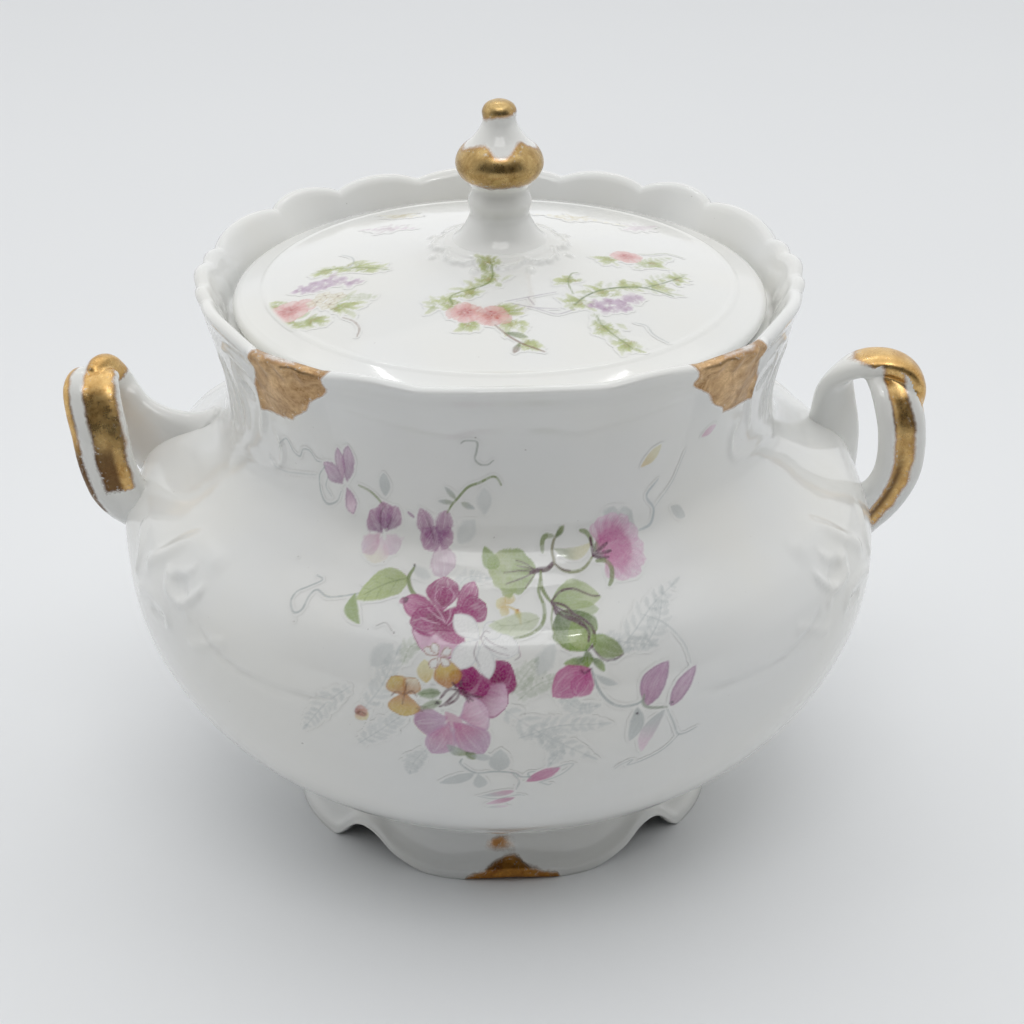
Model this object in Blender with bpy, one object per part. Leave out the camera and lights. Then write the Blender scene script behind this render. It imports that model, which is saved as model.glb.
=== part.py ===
"""A covered porcelain sugar bowl: a bulging bowl with a flared, scalloped collar on a lobed skirt foot, two
ribbon-loop handles, and a low domed lid with an onion-shaped finial that lifts straight up.

Millimetres are used inside the functions and turned into metres where a mesh is made. The origin is on the
surface the bowl stands on, at the centre of its foot. +Z is up, the handles lie along X and the front faces -Y.
"""

import math

import bmesh
import bpy
from mathutils import Matrix, Vector

METRE = 0.001  # one millimetre in metres

# Driving dimensions, in millimetres
TOTAL_HEIGHT = 138.5
RIM_HEIGHT = 106.8
RIM_RADIUS = 55.4
BELLY_RADIUS = 71.6
BASE_HEIGHT = 11.3  # underside of the bowl, where the foot is stuck on
FOOT_RADIUS = 43.2
LID_RADIUS = 48.8
LID_UNDERSIDE = 101.0
LEDGE_RADIUS = 46.2  # inner edge of the ledge that the lid rests on
WALL = 3.0
SEAM = 0.3  # gap between neighbouring pieces

SEGMENTS = 80  # around the axis
LID_SEGMENTS = 64
FINIAL_SEGMENTS = 28

# Outside of the bowl, (radius, height) from the base edge up to the rim
BOWL_OUTSIDE = [
    (40.6, BASE_HEIGHT),
    (50.5, 17.0),
    (62.0, 28.0),
    (69.6, 42.0),
    (BELLY_RADIUS, 56.0),
    (67.5, 67.0),
    (57.8, 74.0),
    (52.0, 80.0),
    (51.4, 91.0),
    (RIM_RADIUS, RIM_HEIGHT),
]
# Inside of the bowl above the ledge and below it, going down
COLLAR_INSIDE = [(RIM_RADIUS - 2.6, RIM_HEIGHT - 0.6), (50.6, 103.0), (49.7, 100.7)]
BOWL_INSIDE = [
    (LEDGE_RADIUS, 100.7),
    (LEDGE_RADIUS, 99.2),
    (48.6, 97.0),
    (48.6, 81.0),
    (54.3, 73.0),
    (64.3, 65.0),
    (BELLY_RADIUS - WALL, 55.5),
    (66.3, 42.0),
    (58.8, 29.0),
    (47.0, 18.6),
    (38.0, 15.0),
]

# Lid from the axis outwards over the top, and back underneath, with the locating flange
LID_TOP = [(9.0, 112.6), (11.0, 111.9), (16.0, 110.6), (26.0, 109.0), (36.0, 106.9), (44.0, 104.9)]
LID_EDGE = [(47.6, 104.0), (LID_RADIUS, 102.9), (LID_RADIUS, 102.0), (48.1, LID_UNDERSIDE)]
LID_BELOW = [(44.9, LID_UNDERSIDE), (44.4, 95.0), (41.8, 95.0), (41.4, 101.6), (30.0, 105.4), (12.0, 108.2)]

# Finial from its foot up to its tip
FINIAL = [
    (8.6, 112.9),
    (7.0, 114.4),
    (5.5, 116.8),
    (5.3, 118.3),
    (5.8, 119.9),
    (5.2, 121.8),
    (5.2, 123.2),
    (7.0, 124.8),
    (7.9, 127.2),
    (7.0, 129.6),
    (4.6, 131.8),
    (3.2, 134.0),
    (3.1, 136.4),
    (2.2, 137.9),
]

# Rim: where the scallops meet, in degrees from the front, the same in each half; the last closes the half
SCALLOP_NOTCHES = [-16.3, 16.3, 34.5, 51.5, 76.0, 84.0, 96.0, 104.0, 128.5, 145.5, 163.7]
SCALLOP_HEIGHT = 1.3
CORNER_FLARE = 1.8  # how far the rim stands out at the four corners
CORNER_WIDTH = 10.0  # degrees

# Foot: the lobes' half-widths in degrees, front and back first, then the sides
FOOT_LOBES = (41.0, 49.0)
ARCH_HEIGHT = 5.8

# Handles: (out from the axis, back, up, width, thickness) along each strand's centre line. Each handle is an
# arch, which rises from the shoulder and ends in a curled tip, and a strand from the arch down to the belly.
# A strand's width points along its first lean at the start and along its second lean at the end.
HANDLES = {
    "handle_right": {
        "side": 1,
        "arch": [
            (63.8, 9.8, 57.0, 9.6, 5.4),
            (66.2, 9.6, 61.5, 9.6, 5.0),
            (67.0, 9.3, 66.0, 9.4, 4.4),
            (66.6, 9.0, 70.5, 9.3, 4.2),
            (65.9, 8.6, 74.8, 9.1, 4.2),
            (65.7, 7.8, 79.2, 8.9, 4.2),
            (67.4, 6.6, 82.6, 8.7, 4.3),
            (71.0, 5.2, 84.6, 8.5, 4.4),
            (75.2, 4.0, 84.9, 8.2, 4.4),
            (78.4, 3.0, 83.4, 7.6, 4.4),
            (79.9, 2.2, 80.4, 6.4, 4.2),
            (80.2, 1.8, 76.6, 3.0, 2.8),
        ],
        "arch_leans": ((1.0, 0.25, 0.0), (0.1, 1.0, 0.0)),
        "strand": [
            (74.2, 3.4, 82.9, 8.4, 3.4),
            (75.2, 0.9, 81.2, 9.0, 3.8),
            (76.0, -1.2, 78.6, 9.3, 4.2),
            (76.7, -2.8, 75.0, 9.4, 4.3),
            (77.0, -3.6, 70.4, 9.3, 4.4),
            (76.6, -4.0, 65.9, 9.2, 4.4),
            (75.0, -4.0, 61.6, 9.0, 4.5),
            (72.4, -3.5, 57.6, 9.2, 4.8),
            (69.6, -2.4, 54.6, 9.8, 5.2),
            (67.4, -1.4, 52.8, 10.2, 5.4),
        ],
        "strand_leans": ((1.0, 0.12, 0.0), (1.0, 0.12, 0.0)),
    },
    "handle_left": {
        "side": -1,
        "arch": [
            (53.5, 2.0, 70.0, 13.0, 8.0),
            (59.0, 2.4, 70.6, 13.4, 6.6),
            (64.0, 3.4, 71.6, 13.0, 6.0),
            (68.0, 4.6, 73.4, 12.4, 5.4),
            (71.2, 5.8, 76.4, 11.0, 4.9),
            (73.2, 6.6, 80.2, 9.6, 4.6),
            (74.0, 6.4, 83.4, 8.2, 4.5),
            (74.6, 5.2, 85.6, 7.0, 4.4),
            (75.6, 3.4, 86.2, 6.2, 4.2),
            (76.4, 1.8, 85.6, 5.2, 3.6),
        ],
        "arch_leans": ((-0.3, 0.1, 1.0), (-0.2, 0.1, 1.0)),
        "strand": [
            (75.0, 4.0, 85.2, 8.0, 3.4),
            (76.0, 1.8, 86.0, 9.6, 4.0),
            (76.4, -0.8, 84.8, 10.6, 4.4),
            (75.9, -3.0, 81.8, 10.8, 4.4),
            (75.0, -4.8, 77.8, 10.8, 4.4),
            (74.4, -5.8, 73.5, 10.8, 4.4),
            (73.6, -6.2, 69.4, 10.6, 4.5),
            (72.6, -5.9, 65.8, 10.4, 4.8),
            (70.6, -4.9, 62.6, 10.6, 5.2),
            (67.6, -3.6, 60.4, 11.0, 5.6),
        ],
        "strand_leans": ((1.0, 0.15, 0.0), (1.0, 0.15, 0.0)),
    },
}
SECTION_SIDES = 10  # of a strand's cross-section
SECTION_SQUARENESS = 0.75  # 1 is an ellipse, less is nearer a rounded slab

GLAZE = (0.90, 0.90, 0.885, 1.0)
GLAZE_ROUGHNESS = 0.12


def clear_scene():
    for item in list(bpy.data.objects):
        bpy.data.objects.remove(item, do_unlink=True)


def material(name, colour, roughness, metallic):
    made = bpy.data.materials.new(name)
    made.use_nodes = True
    shader = made.node_tree.nodes["Principled BSDF"]
    shader.inputs["Base Color"].default_value = colour
    shader.inputs["Roughness"].default_value = roughness
    shader.inputs["Metallic"].default_value = metallic
    return made


def smooth(points, steps):
    """The points joined by a Catmull-Rom curve, with this many steps between each two."""
    points = [Vector(p) for p in points]
    ends = [2 * points[0] - points[1], *points, 2 * points[-1] - points[-2]]
    curve = []
    for a, b, c, d in zip(ends, ends[1:], ends[2:], ends[3:]):
        for i in range(steps):
            t = i / steps
            curve.append(
                0.5 * (2 * b + (c - a) * t + (2 * a - 5 * b + 4 * c - d) * t**2 + (3 * b - a - 3 * c + d) * t**3)
            )
    return [*curve, points[-1]]


def new_object(name, bm, finish):
    """An object from a bmesh in millimetres, shaded smooth but for its sharp edges."""
    bmesh.ops.transform(bm, matrix=Matrix.Scale(METRE, 4), verts=bm.verts)
    bmesh.ops.recalc_face_normals(bm, faces=bm.faces)
    mesh = bpy.data.meshes.new(name)
    bm.to_mesh(mesh)
    bm.free()
    mesh.shade_smooth()
    mesh.set_sharp_from_angle(angle=math.radians(40))
    mesh.materials.append(finish)
    made = bpy.data.objects.new(name, mesh)
    bpy.context.collection.objects.link(made)
    return made


def skin(bm, loops, closed_up=False):
    """Faces between each loop of vertices and the next, and with closed_up between the last and the first."""
    pairs = list(zip(loops, loops[1:]))
    if closed_up:
        pairs.append((loops[-1], loops[0]))
    for below, above in pairs:
        count = len(below)
        for i in range(count):
            j = (i + 1) % count
            bm.faces.new((below[i], below[j], above[j], above[i]))


def loop_at(bm, place, segments=SEGMENTS):
    """A loop around the axis. place gives (radius, height) from the angle, which is 0 at the front."""
    loop = []
    for i in range(segments):
        angle = 2 * math.pi * i / segments
        radius, height = place(angle)
        loop.append(bm.verts.new((radius * math.sin(angle), -radius * math.cos(angle), height)))
    return loop


def cap(bm, loop, height):
    """A fan that closes a loop with one vertex on the axis."""
    middle = bm.verts.new((0, 0, height))
    for i in range(len(loop)):
        bm.faces.new((loop[i], loop[(i + 1) % len(loop)], middle))


def turned(name, profile, low_cap, high_cap, finish, segments=SEGMENTS):
    """A turned solid: the profile's first and last points are joined to the axis at the two cap heights."""
    bm = bmesh.new()
    loops = [loop_at(bm, lambda angle, p=p: p, segments) for p in profile]
    skin(bm, loops)
    cap(bm, loops[0], low_cap)
    cap(bm, loops[-1], high_cap)
    return new_object(name, bm, finish)


def degrees_from_front(angle):
    """0 at the front, 180 at the back, the same on both sides."""
    turned_by = math.degrees(angle) % 360
    return min(turned_by, 360 - turned_by)


def scallop(angle):
    """0 at a notch of the rim and 1 at the top of a scallop."""
    at = degrees_from_front(angle)
    for low, high in zip(SCALLOP_NOTCHES, [*SCALLOP_NOTCHES[1:], 196.3]):
        if low <= at <= high:
            width = min(1.0, (high - low) / 17.0)
            return width * math.sin(math.pi * (at - low) / (high - low)) ** 0.7
    return 0.0


def corner(angle):
    """1 at the four corners of the rim, at 45 degrees, and 0 away from them."""
    off = abs(degrees_from_front(angle) % 90 - 45)
    return math.exp(-((off / CORNER_WIDTH) ** 2))


def collar_share(height):
    """How much of the rim's shape shows at this height: none at the waist, all at the rim."""
    return min(1.0, max(0.0, (height - 84.0) / (RIM_HEIGHT - 84.0))) ** 1.5


def collar_place(radius, height):
    """A point of the collar, given the corners' flare and the scallops."""

    def place(angle):
        share = collar_share(height)
        lift = SCALLOP_HEIGHT * (scallop(angle) - 0.6) * max(0.0, share - 0.55) / 0.45
        return radius + share * CORNER_FLARE * corner(angle), height + lift

    return place


def bowl_body(finish):
    bm = bmesh.new()
    outside = [(p.x, p.y) for p in smooth(BOWL_OUTSIDE, 2)]
    loops = [loop_at(bm, collar_place(*p)) for p in outside]
    loops.append(loop_at(bm, collar_place(RIM_RADIUS - 1.2, RIM_HEIGHT + 0.35)))
    loops += [loop_at(bm, collar_place(*p)) for p in COLLAR_INSIDE[:1]]
    loops += [loop_at(bm, lambda angle, p=p: p) for p in COLLAR_INSIDE[1:] + BOWL_INSIDE]
    skin(bm, loops)
    cap(bm, loops[0], BASE_HEIGHT)
    cap(bm, loops[-1], 14.6)
    return new_object("bowl_body", bm, finish)


def foot_edge(angle):
    """Height of the skirt's lower edge: flat toes on the ground, an arch between each two lobes."""
    at = degrees_from_front(angle)
    front, side = FOOT_LOBES
    off = min(at, 180 - at)
    share = off / front if off <= front else (90 - off) / side
    if share < 0.22:
        return 0.9  # the bracket's centre stands just clear of the ground
    if share < 0.62:
        return 0.0
    return ARCH_HEIGHT * (0.5 - 0.5 * math.cos(math.pi * (share - 0.62) / 0.38))


def foot_ring(finish):
    bm = bmesh.new()
    top = BASE_HEIGHT - SEAM

    def outer(share):
        flare = (FOOT_RADIUS - 40.6) * share**1.6
        return lambda angle: (40.6 + flare, top + (foot_edge(angle) - top) * share)

    loops = [loop_at(bm, outer(share)) for share in (0.0, 0.3, 0.65, 1.0)]
    loops.append(loop_at(bm, lambda angle: (FOOT_RADIUS - 3.2, foot_edge(angle))))
    loops.append(loop_at(bm, lambda angle: (37.4, top)))
    skin(bm, loops, closed_up=True)
    return new_object("foot_ring", bm, finish)


def lid(finish):
    profile = LID_TOP + LID_EDGE + LID_BELOW
    return turned("lid", profile, LID_TOP[0][1], LID_BELOW[-1][1] + 0.6, finish, LID_SEGMENTS)


def finial(finish):
    return turned("finial", FINIAL, FINIAL[0][1], TOTAL_HEIGHT, finish, FINIAL_SEGMENTS)


def strand(name, path, leans, side, finish):
    """One ribbon swept along its path, its width turning from the first lean to the second, its ends closed."""
    bm = bmesh.new()
    points = smooth(path, 3)
    centres = [Vector((side * p[0], p[1], p[2])) for p in points]
    first, second = (Vector((side * lean[0], lean[1], lean[2])) for lean in leans)
    loops = []
    for i, centre in enumerate(centres):
        share = min(max((i / (len(centres) - 1) - 0.30) / 0.42, 0.0), 1.0)
        lean = first.lerp(second, share * share * (3 - 2 * share))
        along = (centres[min(i + 1, len(centres) - 1)] - centres[max(i - 1, 0)]).normalized()
        across = (lean - along * lean.dot(along)).normalized()
        out = along.cross(across)
        half_width, half_thick = points[i][3] / 2, points[i][4] / 2
        loop = []
        for k in range(SECTION_SIDES):
            turn = 2 * math.pi * k / SECTION_SIDES
            c, s = math.cos(turn), math.sin(turn)
            u = half_width * math.copysign(abs(c) ** SECTION_SQUARENESS, c)
            v = half_thick * math.copysign(abs(s) ** SECTION_SQUARENESS, s)
            loop.append(bm.verts.new(centre + across * u + out * v))
        loops.append(loop)
    skin(bm, loops)
    bm.faces.new(loops[0])
    bm.faces.new(loops[-1])
    return new_object(name, bm, finish)


def boolean(target, operation, other):
    """Applies other to target and hides other as a guide."""
    modifier = target.modifiers.new(operation.lower(), "BOOLEAN")
    modifier.operation = operation
    modifier.object = other
    other.hide_render = True
    other.display_type = "WIRE"


def handles(finish, keep_clear):
    for name, shape in HANDLES.items():
        arch = strand(name, [Vector(p) for p in shape["arch"]], shape["arch_leans"], shape["side"], finish)
        front = strand(
            name + "_strand", [Vector(p) for p in shape["strand"]], shape["strand_leans"], shape["side"], finish
        )
        boolean(arch, "UNION", front)
        boolean(arch, "DIFFERENCE", keep_clear)


def main():
    clear_scene()
    glaze = material("glazed_porcelain", GLAZE, GLAZE_ROUGHNESS, 0.0)
    bowl_body(glaze)
    foot_ring(glaze)
    clearance = [(p.x + SEAM, p.y) for p in smooth(BOWL_OUTSIDE, 2)]
    keep_clear = turned("bowl_clearance", clearance, BASE_HEIGHT, RIM_HEIGHT, glaze)
    handles(glaze, keep_clear)
    lid_part = lid(glaze)
    finial_part = finial(glaze)

    # The lid and its finial hang on an empty on the axis that the lid is lifted along.
    lift = bpy.data.objects.new("lid_lift_axis", None)
    lift.location = (0, 0, LID_UNDERSIDE * METRE)
    bpy.context.collection.objects.link(lift)
    for piece in (lid_part, finial_part):
        piece.parent = lift
        piece.matrix_parent_inverse = Matrix.Translation((0, 0, -LID_UNDERSIDE * METRE))


main()
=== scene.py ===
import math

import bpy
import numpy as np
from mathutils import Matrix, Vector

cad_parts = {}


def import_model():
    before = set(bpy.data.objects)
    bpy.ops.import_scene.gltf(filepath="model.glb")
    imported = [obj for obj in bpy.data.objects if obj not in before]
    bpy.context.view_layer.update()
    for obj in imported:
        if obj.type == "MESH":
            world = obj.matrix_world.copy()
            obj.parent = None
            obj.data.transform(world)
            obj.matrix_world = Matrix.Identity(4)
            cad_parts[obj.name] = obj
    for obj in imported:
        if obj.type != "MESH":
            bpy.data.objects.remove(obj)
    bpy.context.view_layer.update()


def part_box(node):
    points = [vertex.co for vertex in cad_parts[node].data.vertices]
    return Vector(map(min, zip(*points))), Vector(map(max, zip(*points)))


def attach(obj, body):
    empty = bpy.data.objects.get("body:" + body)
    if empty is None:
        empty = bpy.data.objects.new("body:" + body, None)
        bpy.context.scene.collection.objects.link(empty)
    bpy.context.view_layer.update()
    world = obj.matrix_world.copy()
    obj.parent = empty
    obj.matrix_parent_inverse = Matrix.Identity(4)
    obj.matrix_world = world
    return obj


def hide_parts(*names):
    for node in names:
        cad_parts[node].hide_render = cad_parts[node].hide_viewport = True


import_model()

# The looks of a covered porcelain sugar bowl: a glazed white body with moulded relief, worn gilding and
# printed sprays of flowers. Shapes are worked out in millimetres and degrees, and turned into metres where a
# mesh is made. Azimuth 0 is the front (-Y) and grows towards +X. Each porcelain piece replaces the CAD node
# that it is named after, and the sprays are thin skins over the glaze.

MM = 0.001


def corner_mm(node):
    """Lowest and highest corner of a CAD node, in millimetres."""
    return [np.array(c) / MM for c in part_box(node)]


BODY_LOW, BODY_HIGH = corner_mm("bowl_body")
LID_LOW, LID_HIGH = corner_mm("lid")
FOOT_HIGH = corner_mm("foot_ring")[1]
FINIAL_HIGH = corner_mm("finial")[1]

BELLY_RADIUS = BODY_HIGH[0]
BASE_HEIGHT = BODY_LOW[2]
RIM_HEIGHT = 106.8
RIM_RADIUS = 55.4
FOOT_RADIUS = FOOT_HIGH[0]
LID_RADIUS = LID_HIGH[0]
LID_UNDERSIDE = 101.0
WALL = 3.0
WIDEST_HEIGHT = 56.0
WAIST_HEIGHT = 84.0
SHOULDER_HEIGHT = 78.0
# Lengths across the outside are measured at this radius, for the relief and for the printed sprays alike.
ARC_RADIUS = 66.0
MM_PER_DEGREE = math.radians(ARC_RADIUS)
COLLAR_ARC_RADIUS = 55.0

BOWL_OUTSIDE = [
    (40.6, BASE_HEIGHT), (50.5, 17.0), (62.0, 28.0), (69.6, 42.0), (BELLY_RADIUS, WIDEST_HEIGHT),
    (67.5, 67.0), (57.8, 74.0), (52.0, 80.0), (51.4, 91.0), (RIM_RADIUS, RIM_HEIGHT),
]
LIP = [(55.4, 107.3), (54.9, 107.75), (54.1, 107.9), (53.2, 107.5), (52.5, 106.4)]
COLLAR_INSIDE = [(51.1, 103.4), (50.2, 101.4), (49.4, 100.7), (46.6, 100.6)]
BOWL_INSIDE = [
    (46.2, 100.2), (46.4, 99.0), (48.6, 96.5), (48.8, 81.0), (54.3, 73.2), (64.3, 64.8),
    (BELLY_RADIUS - WALL, 55.5), (66.3, 42.0), (58.8, 29.0), (47.0, 18.8), (36.0, 15.2), (18.0, 14.6),
    (0.0, 14.6),
]
BOWL_UNDERSIDE = [(0.0, 13.0), (20.0, 12.8), (35.5, 12.4), (37.6, 11.8), (39.2, BASE_HEIGHT)]

SCALLOP_NOTCHES = [-16.3, 16.3, 34.5, 51.5, 76.0, 84.0, 96.0, 104.0, 128.5, 145.5, 163.7, 196.3]
SCALLOP_HEIGHT = 1.3
CORNER_AZIMUTH = 45.0
CORNER_FLARE = 1.8
CORNER_WIDTH = 10.0
GOLD_REACH = 5.0


# ---------------------------------------------------------------- curves and meshes

def curve(points, count):
    """The points joined by a Catmull-Rom curve and read at evenly spaced places along it."""
    p = np.array(points, float)
    p = np.vstack([2 * p[0] - p[1], p, 2 * p[-1] - p[-2]])
    t = np.arange(0, 1, 1 / 24)[:, None]
    parts = []
    for a, b, c, d in zip(p, p[1:], p[2:], p[3:]):
        parts.append(0.5 * (2 * b + (c - a) * t + (2 * a - 5 * b + 4 * c - d) * t**2
                            + (3 * b - a - 3 * c + d) * t**3))
    dense = np.vstack([*parts, p[-2:-1]])
    run = np.concatenate([[0], np.cumsum(np.linalg.norm(np.diff(dense, axis=0), axis=1))])
    at = np.linspace(0, run[-1], count)
    return np.stack([np.interp(at, run, dense[:, k]) for k in range(p.shape[1])], axis=1)


def smoothstep(low, high, x):
    t = np.clip((x - low) / (high - low), 0, 1)
    return t * t * (3 - 2 * t)


def gauss(x, width):
    return np.exp(-((x / width) ** 2))


def adopt(name, mesh):
    """A smooth object in the scene that shows the mesh."""
    mesh.shade_smooth()
    made = bpy.data.objects.new(name, mesh)
    bpy.context.scene.collection.objects.link(made)
    return made


def nearest_on(path, x, y):
    """How far each place is from a path, and how far along the path (0 to 1) its nearest point is."""
    best, where = np.full(x.shape, 1e9), np.zeros(x.shape)
    run = np.linspace(0, 1, len(path))
    for k in range(len(path) - 1):
        d = path[k + 1] - path[k]
        t = np.clip(((x - path[k, 0]) * d[0] + (y - path[k, 1]) * d[1]) / (d @ d + 1e-9), 0, 1)
        away = np.hypot(x - path[k, 0] - t * d[0], y - path[k, 1] - t * d[1])
        closer = away < best
        best = np.where(closer, away, best)
        where = np.where(closer, run[k] + t * (run[k + 1] - run[k]), where)
    return best, where


def make_object(name, vertices, faces):
    """A mesh object from vertices in millimetres."""
    mesh = bpy.data.meshes.new(name)
    mesh.from_pydata((np.asarray(vertices) * MM).tolist(), [], [list(f) for f in faces])
    mesh.validate()
    return adopt(name, mesh)


def store(obj, name, values):
    """Keeps one number, or one colour, for each vertex."""
    values = np.asarray(values, np.float32)
    kind = "FLOAT" if values.ndim == 1 else "FLOAT_COLOR"
    layer = obj.data.attributes.new(name, kind, "POINT")
    layer.data.foreach_set("value" if values.ndim == 1 else "color", values.ravel())


def spun(profile, cols):
    """Radius and height of a profile's points, each repeated over the columns."""
    return np.repeat(profile[:, :1], cols, 1), np.repeat(profile[:, 1:], cols, 1)


def outward(profile):
    """Unit normals of a profile that runs upwards, pointing away from the axis."""
    step = np.gradient(profile, axis=0)
    return np.stack([step[:, 1], -step[:, 0]], 1) / np.linalg.norm(step, axis=1)[:, None]


def lathe(radius, azimuth, height):
    """Vertices and faces of a turned skin. The arrays hold rows from one end to the other, and columns around
    the axis with azimuth in degrees. A row on the axis shrinks to one vertex."""
    rows, cols = radius.shape
    a = np.radians(azimuth)
    points = np.stack([radius * np.sin(a), -radius * np.cos(a), height], axis=-1)
    vertices, index = [], np.zeros((rows, cols), int)
    for i in range(rows):
        on_axis = radius[i].max() < 1e-6
        index[i] = len(vertices) + (0 if on_axis else np.arange(cols))
        vertices.extend(points[i, :1] if on_axis else points[i])
    faces = []
    for i in range(rows - 1):
        for j in range(cols):
            k = (j + 1) % cols
            quad = [index[i, j], index[i, k], index[i + 1, k], index[i + 1, j]]
            faces.append(list(dict.fromkeys(quad)))
    return np.array(vertices), faces, index


# ---------------------------------------------------------------- shape of the bowl

def wrapped(azimuth):
    """The same azimuth between -180 and 180."""
    return (azimuth + 180) % 360 - 180


def folded(azimuth):
    """0 at the front and back, 90 at the sides: the relief is the same in all four quarters."""
    a = np.abs(wrapped(azimuth))
    return np.minimum(a, 180 - a)


def scallop(azimuth):
    """0 at a notch of the rim and up to 1 at the top of a scallop."""
    a = np.abs(wrapped(azimuth))
    out = np.zeros_like(a)
    for low, high in zip(SCALLOP_NOTCHES, SCALLOP_NOTCHES[1:]):
        inside = (a >= low) & (a <= high)
        width = min(1.0, (high - low) / 17.0)
        sharpness = 1.1 - 0.5 * smoothstep(60, 130, a)
        wave = np.sin(np.pi * np.clip((a - low) / (high - low), 0, 1)) ** sharpness
        out = np.where(inside, np.maximum(out, width * wave), out)
    return out


def corner(azimuth):
    """1 on a corner of the rim, 0 away from it."""
    return gauss(folded(azimuth) - CORNER_AZIMUTH, CORNER_WIDTH)


def collar_share(height):
    """How much of the rim's shape shows at this height: none at the waist, all at the rim."""
    return np.clip((height - WAIST_HEIGHT) / (RIM_HEIGHT - WAIST_HEIGHT), 0, 1) ** 1.5


def line_relief(azimuth, height, path, width, fade=0.15):
    """1 on a moulded line through the (azimuth, height) points, falling off over the width in mm, and fading
    at its two ends over a share of its length."""
    points = curve(path, 6 * len(path)) * (MM_PER_DEGREE, 1)
    away, where = nearest_on(points, azimuth * MM_PER_DEGREE, height)
    strength = smoothstep(0, fade, where) * smoothstep(0, fade, 1 - where)
    return gauss(away, width) * strength


def oval_relief(azimuth, height, centre, half_long, half_short, tilt):
    """1 inside a pointed oval with this centre (azimuth, height), half-sizes in mm and tilt in degrees."""
    x = (azimuth - centre[0]) * MM_PER_DEGREE
    y = height - centre[1]
    c, s = math.cos(math.radians(tilt)), math.sin(math.radians(tilt))
    along, across = x * c + y * s, -x * s + y * c
    reach = 1 - (along / half_long) ** 2
    return smoothstep(0, 0.5, reach - np.abs(across) / half_short)


# Moulded lines: (azimuth, height) points in the first quarter, then their rise and their width in mm
COLLAR_LINES = [
    ([(66, 101.6), (61, 103.2), (56, 103.0), (52, 101), (52, 97), (54, 92), (57, 87)], 0.55, 0.8),
    ([(78, 102), (77, 96), (75, 89), (73.5, 82.5)], -0.75, 1.0),
    ([(60, 102), (61.5, 97), (61, 92), (63, 86.5)], 0.35, 0.6),
    ([(52, 92.3), (49, 88.7), (50, 84.5), (55, 82.8), (62, 82.6), (70, 81.2), (75, 80.6)], 0.4, 0.8),
    ([(69, 101), (70, 95), (70, 88), (68, 84)], 0.35, 0.9),
    ([(0, 100.6), (6, 100.8), (11.5, 99.2), (19, 100.3), (27, 101.6), (33, 102.6)], 0.28, 0.7),
    ([(84, 101.6), (88, 100.4), (92, 100.4)], 0.25, 0.8),
]
BELLY_LINES = [
    ([(68, 61), (66.2, 63.2), (62.7, 66.4), (60.4, 68.7), (58.3, 69.8), (53.7, 69.6), (48.3, 69)], 0.7, 1.3),
    ([(61, 64.3), (58, 65), (55.4, 66.5), (53.7, 68.0)], 0.45, 0.8),
    ([(59.6, 64.2), (58.6, 62.7), (56, 61.7), (53, 62.8), (51.1, 65.3), (51.4, 67)], 0.55, 0.8),
    ([(55, 61.8), (52.6, 61.4), (51.5, 59.6)], 0.35, 0.7),
    ([(71, 55.2), (67, 57.4), (63.7, 58.7), (59.5, 59.2), (57, 57.6), (57.6, 55)], 0.5, 0.9),
    ([(50.3, 62), (48.9, 59.8), (45.4, 57.7), (42.4, 56.6), (39.6, 55.9), (35, 55.6), (29, 56), (23, 57)],
     -0.45, 0.5),
    ([(52, 55.8), (49.3, 56.6), (46.6, 58.6), (43, 60.2)], 0.3, 0.8),
    ([(76, 66), (73, 64), (71, 61), (72, 57)], 0.5, 1.0),
]
# Sunk ovals: centre (azimuth, height), half-length, half-width, tilt in degrees and depth
OVALS = [
    ((57.4, 96.9), 3.4, 1.3, 25, 0.55), ((55.6, 64.2), 3.4, 1.7, 20, 0.55),
    ((60.4, 56.2), 3.6, 1.3, -6, 0.40), ((66.0, 93.0), 7.5, 2.0, 82, 0.45),
]
# Where the handles' strands meet the body: azimuth, height, and the swelling's width, height and rise in mm
HANDLE_ROOTS = [
    (88, 55, 6.5, 5.0, 0.6), (98, 67, 7.0, 5.0, 0.9), (-86.5, 60, 7.0, 5.0, 1.0), (-92, 71, 9.0, 5.0, 2.6),
]


def bowl_relief(azimuth, height):
    """Height of the moulded relief over the turned shape, in mm along the outside's normal."""
    a = folded(azimuth)
    relief = np.zeros_like(a)
    upper = height > SHOULDER_HEIGHT
    for lines, region in ((COLLAR_LINES, upper), (BELLY_LINES, ~upper)):
        for path, rise, width in lines:
            relief[region] += rise * line_relief(a[region], height[region], path, width)
    for centre, half_long, half_short, tilt, depth in OVALS:
        relief -= depth * oval_relief(a, height, centre, half_long, half_short, tilt)
    # A broad swelling carries the belly's scrolls.
    relief += 0.5 * gauss(a - 58, 9) * gauss(height - 62, 7)
    for at, up, wide, tall, swell in HANDLE_ROOTS:
        relief += swell * gauss(wrapped(azimuth - at) * MM_PER_DEGREE, wide) * gauss(height - up, tall)
    # A cove runs under the rolled lip.
    below_rim = RIM_HEIGHT - height
    relief -= 0.45 * gauss(below_rim - 2.8, 1.4) * (0.6 + 0.4 * scallop(azimuth))
    # Small ruffles stand on the corners of the rim.
    ruffle = np.sin(np.radians((a - 44) * 90)) * smoothstep(9, 6, np.abs(a - 44.5))
    relief += 0.28 * ruffle * gauss(below_rim - 0.5, 2.6)
    return relief


def columns():
    """Azimuths of the bowl's columns, closer together where the relief is."""
    quarter = np.concatenate([np.arange(0, 34, 1.3), np.arange(34, 80, 0.48), np.arange(80, 90, 1.1)])
    quarter = quarter / quarter[-1] * 90 * (1 - 0.5 / len(quarter)) + 0.25
    half = np.concatenate([quarter, 180 - quarter[::-1]])
    return np.concatenate([half, -half[::-1]])


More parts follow.
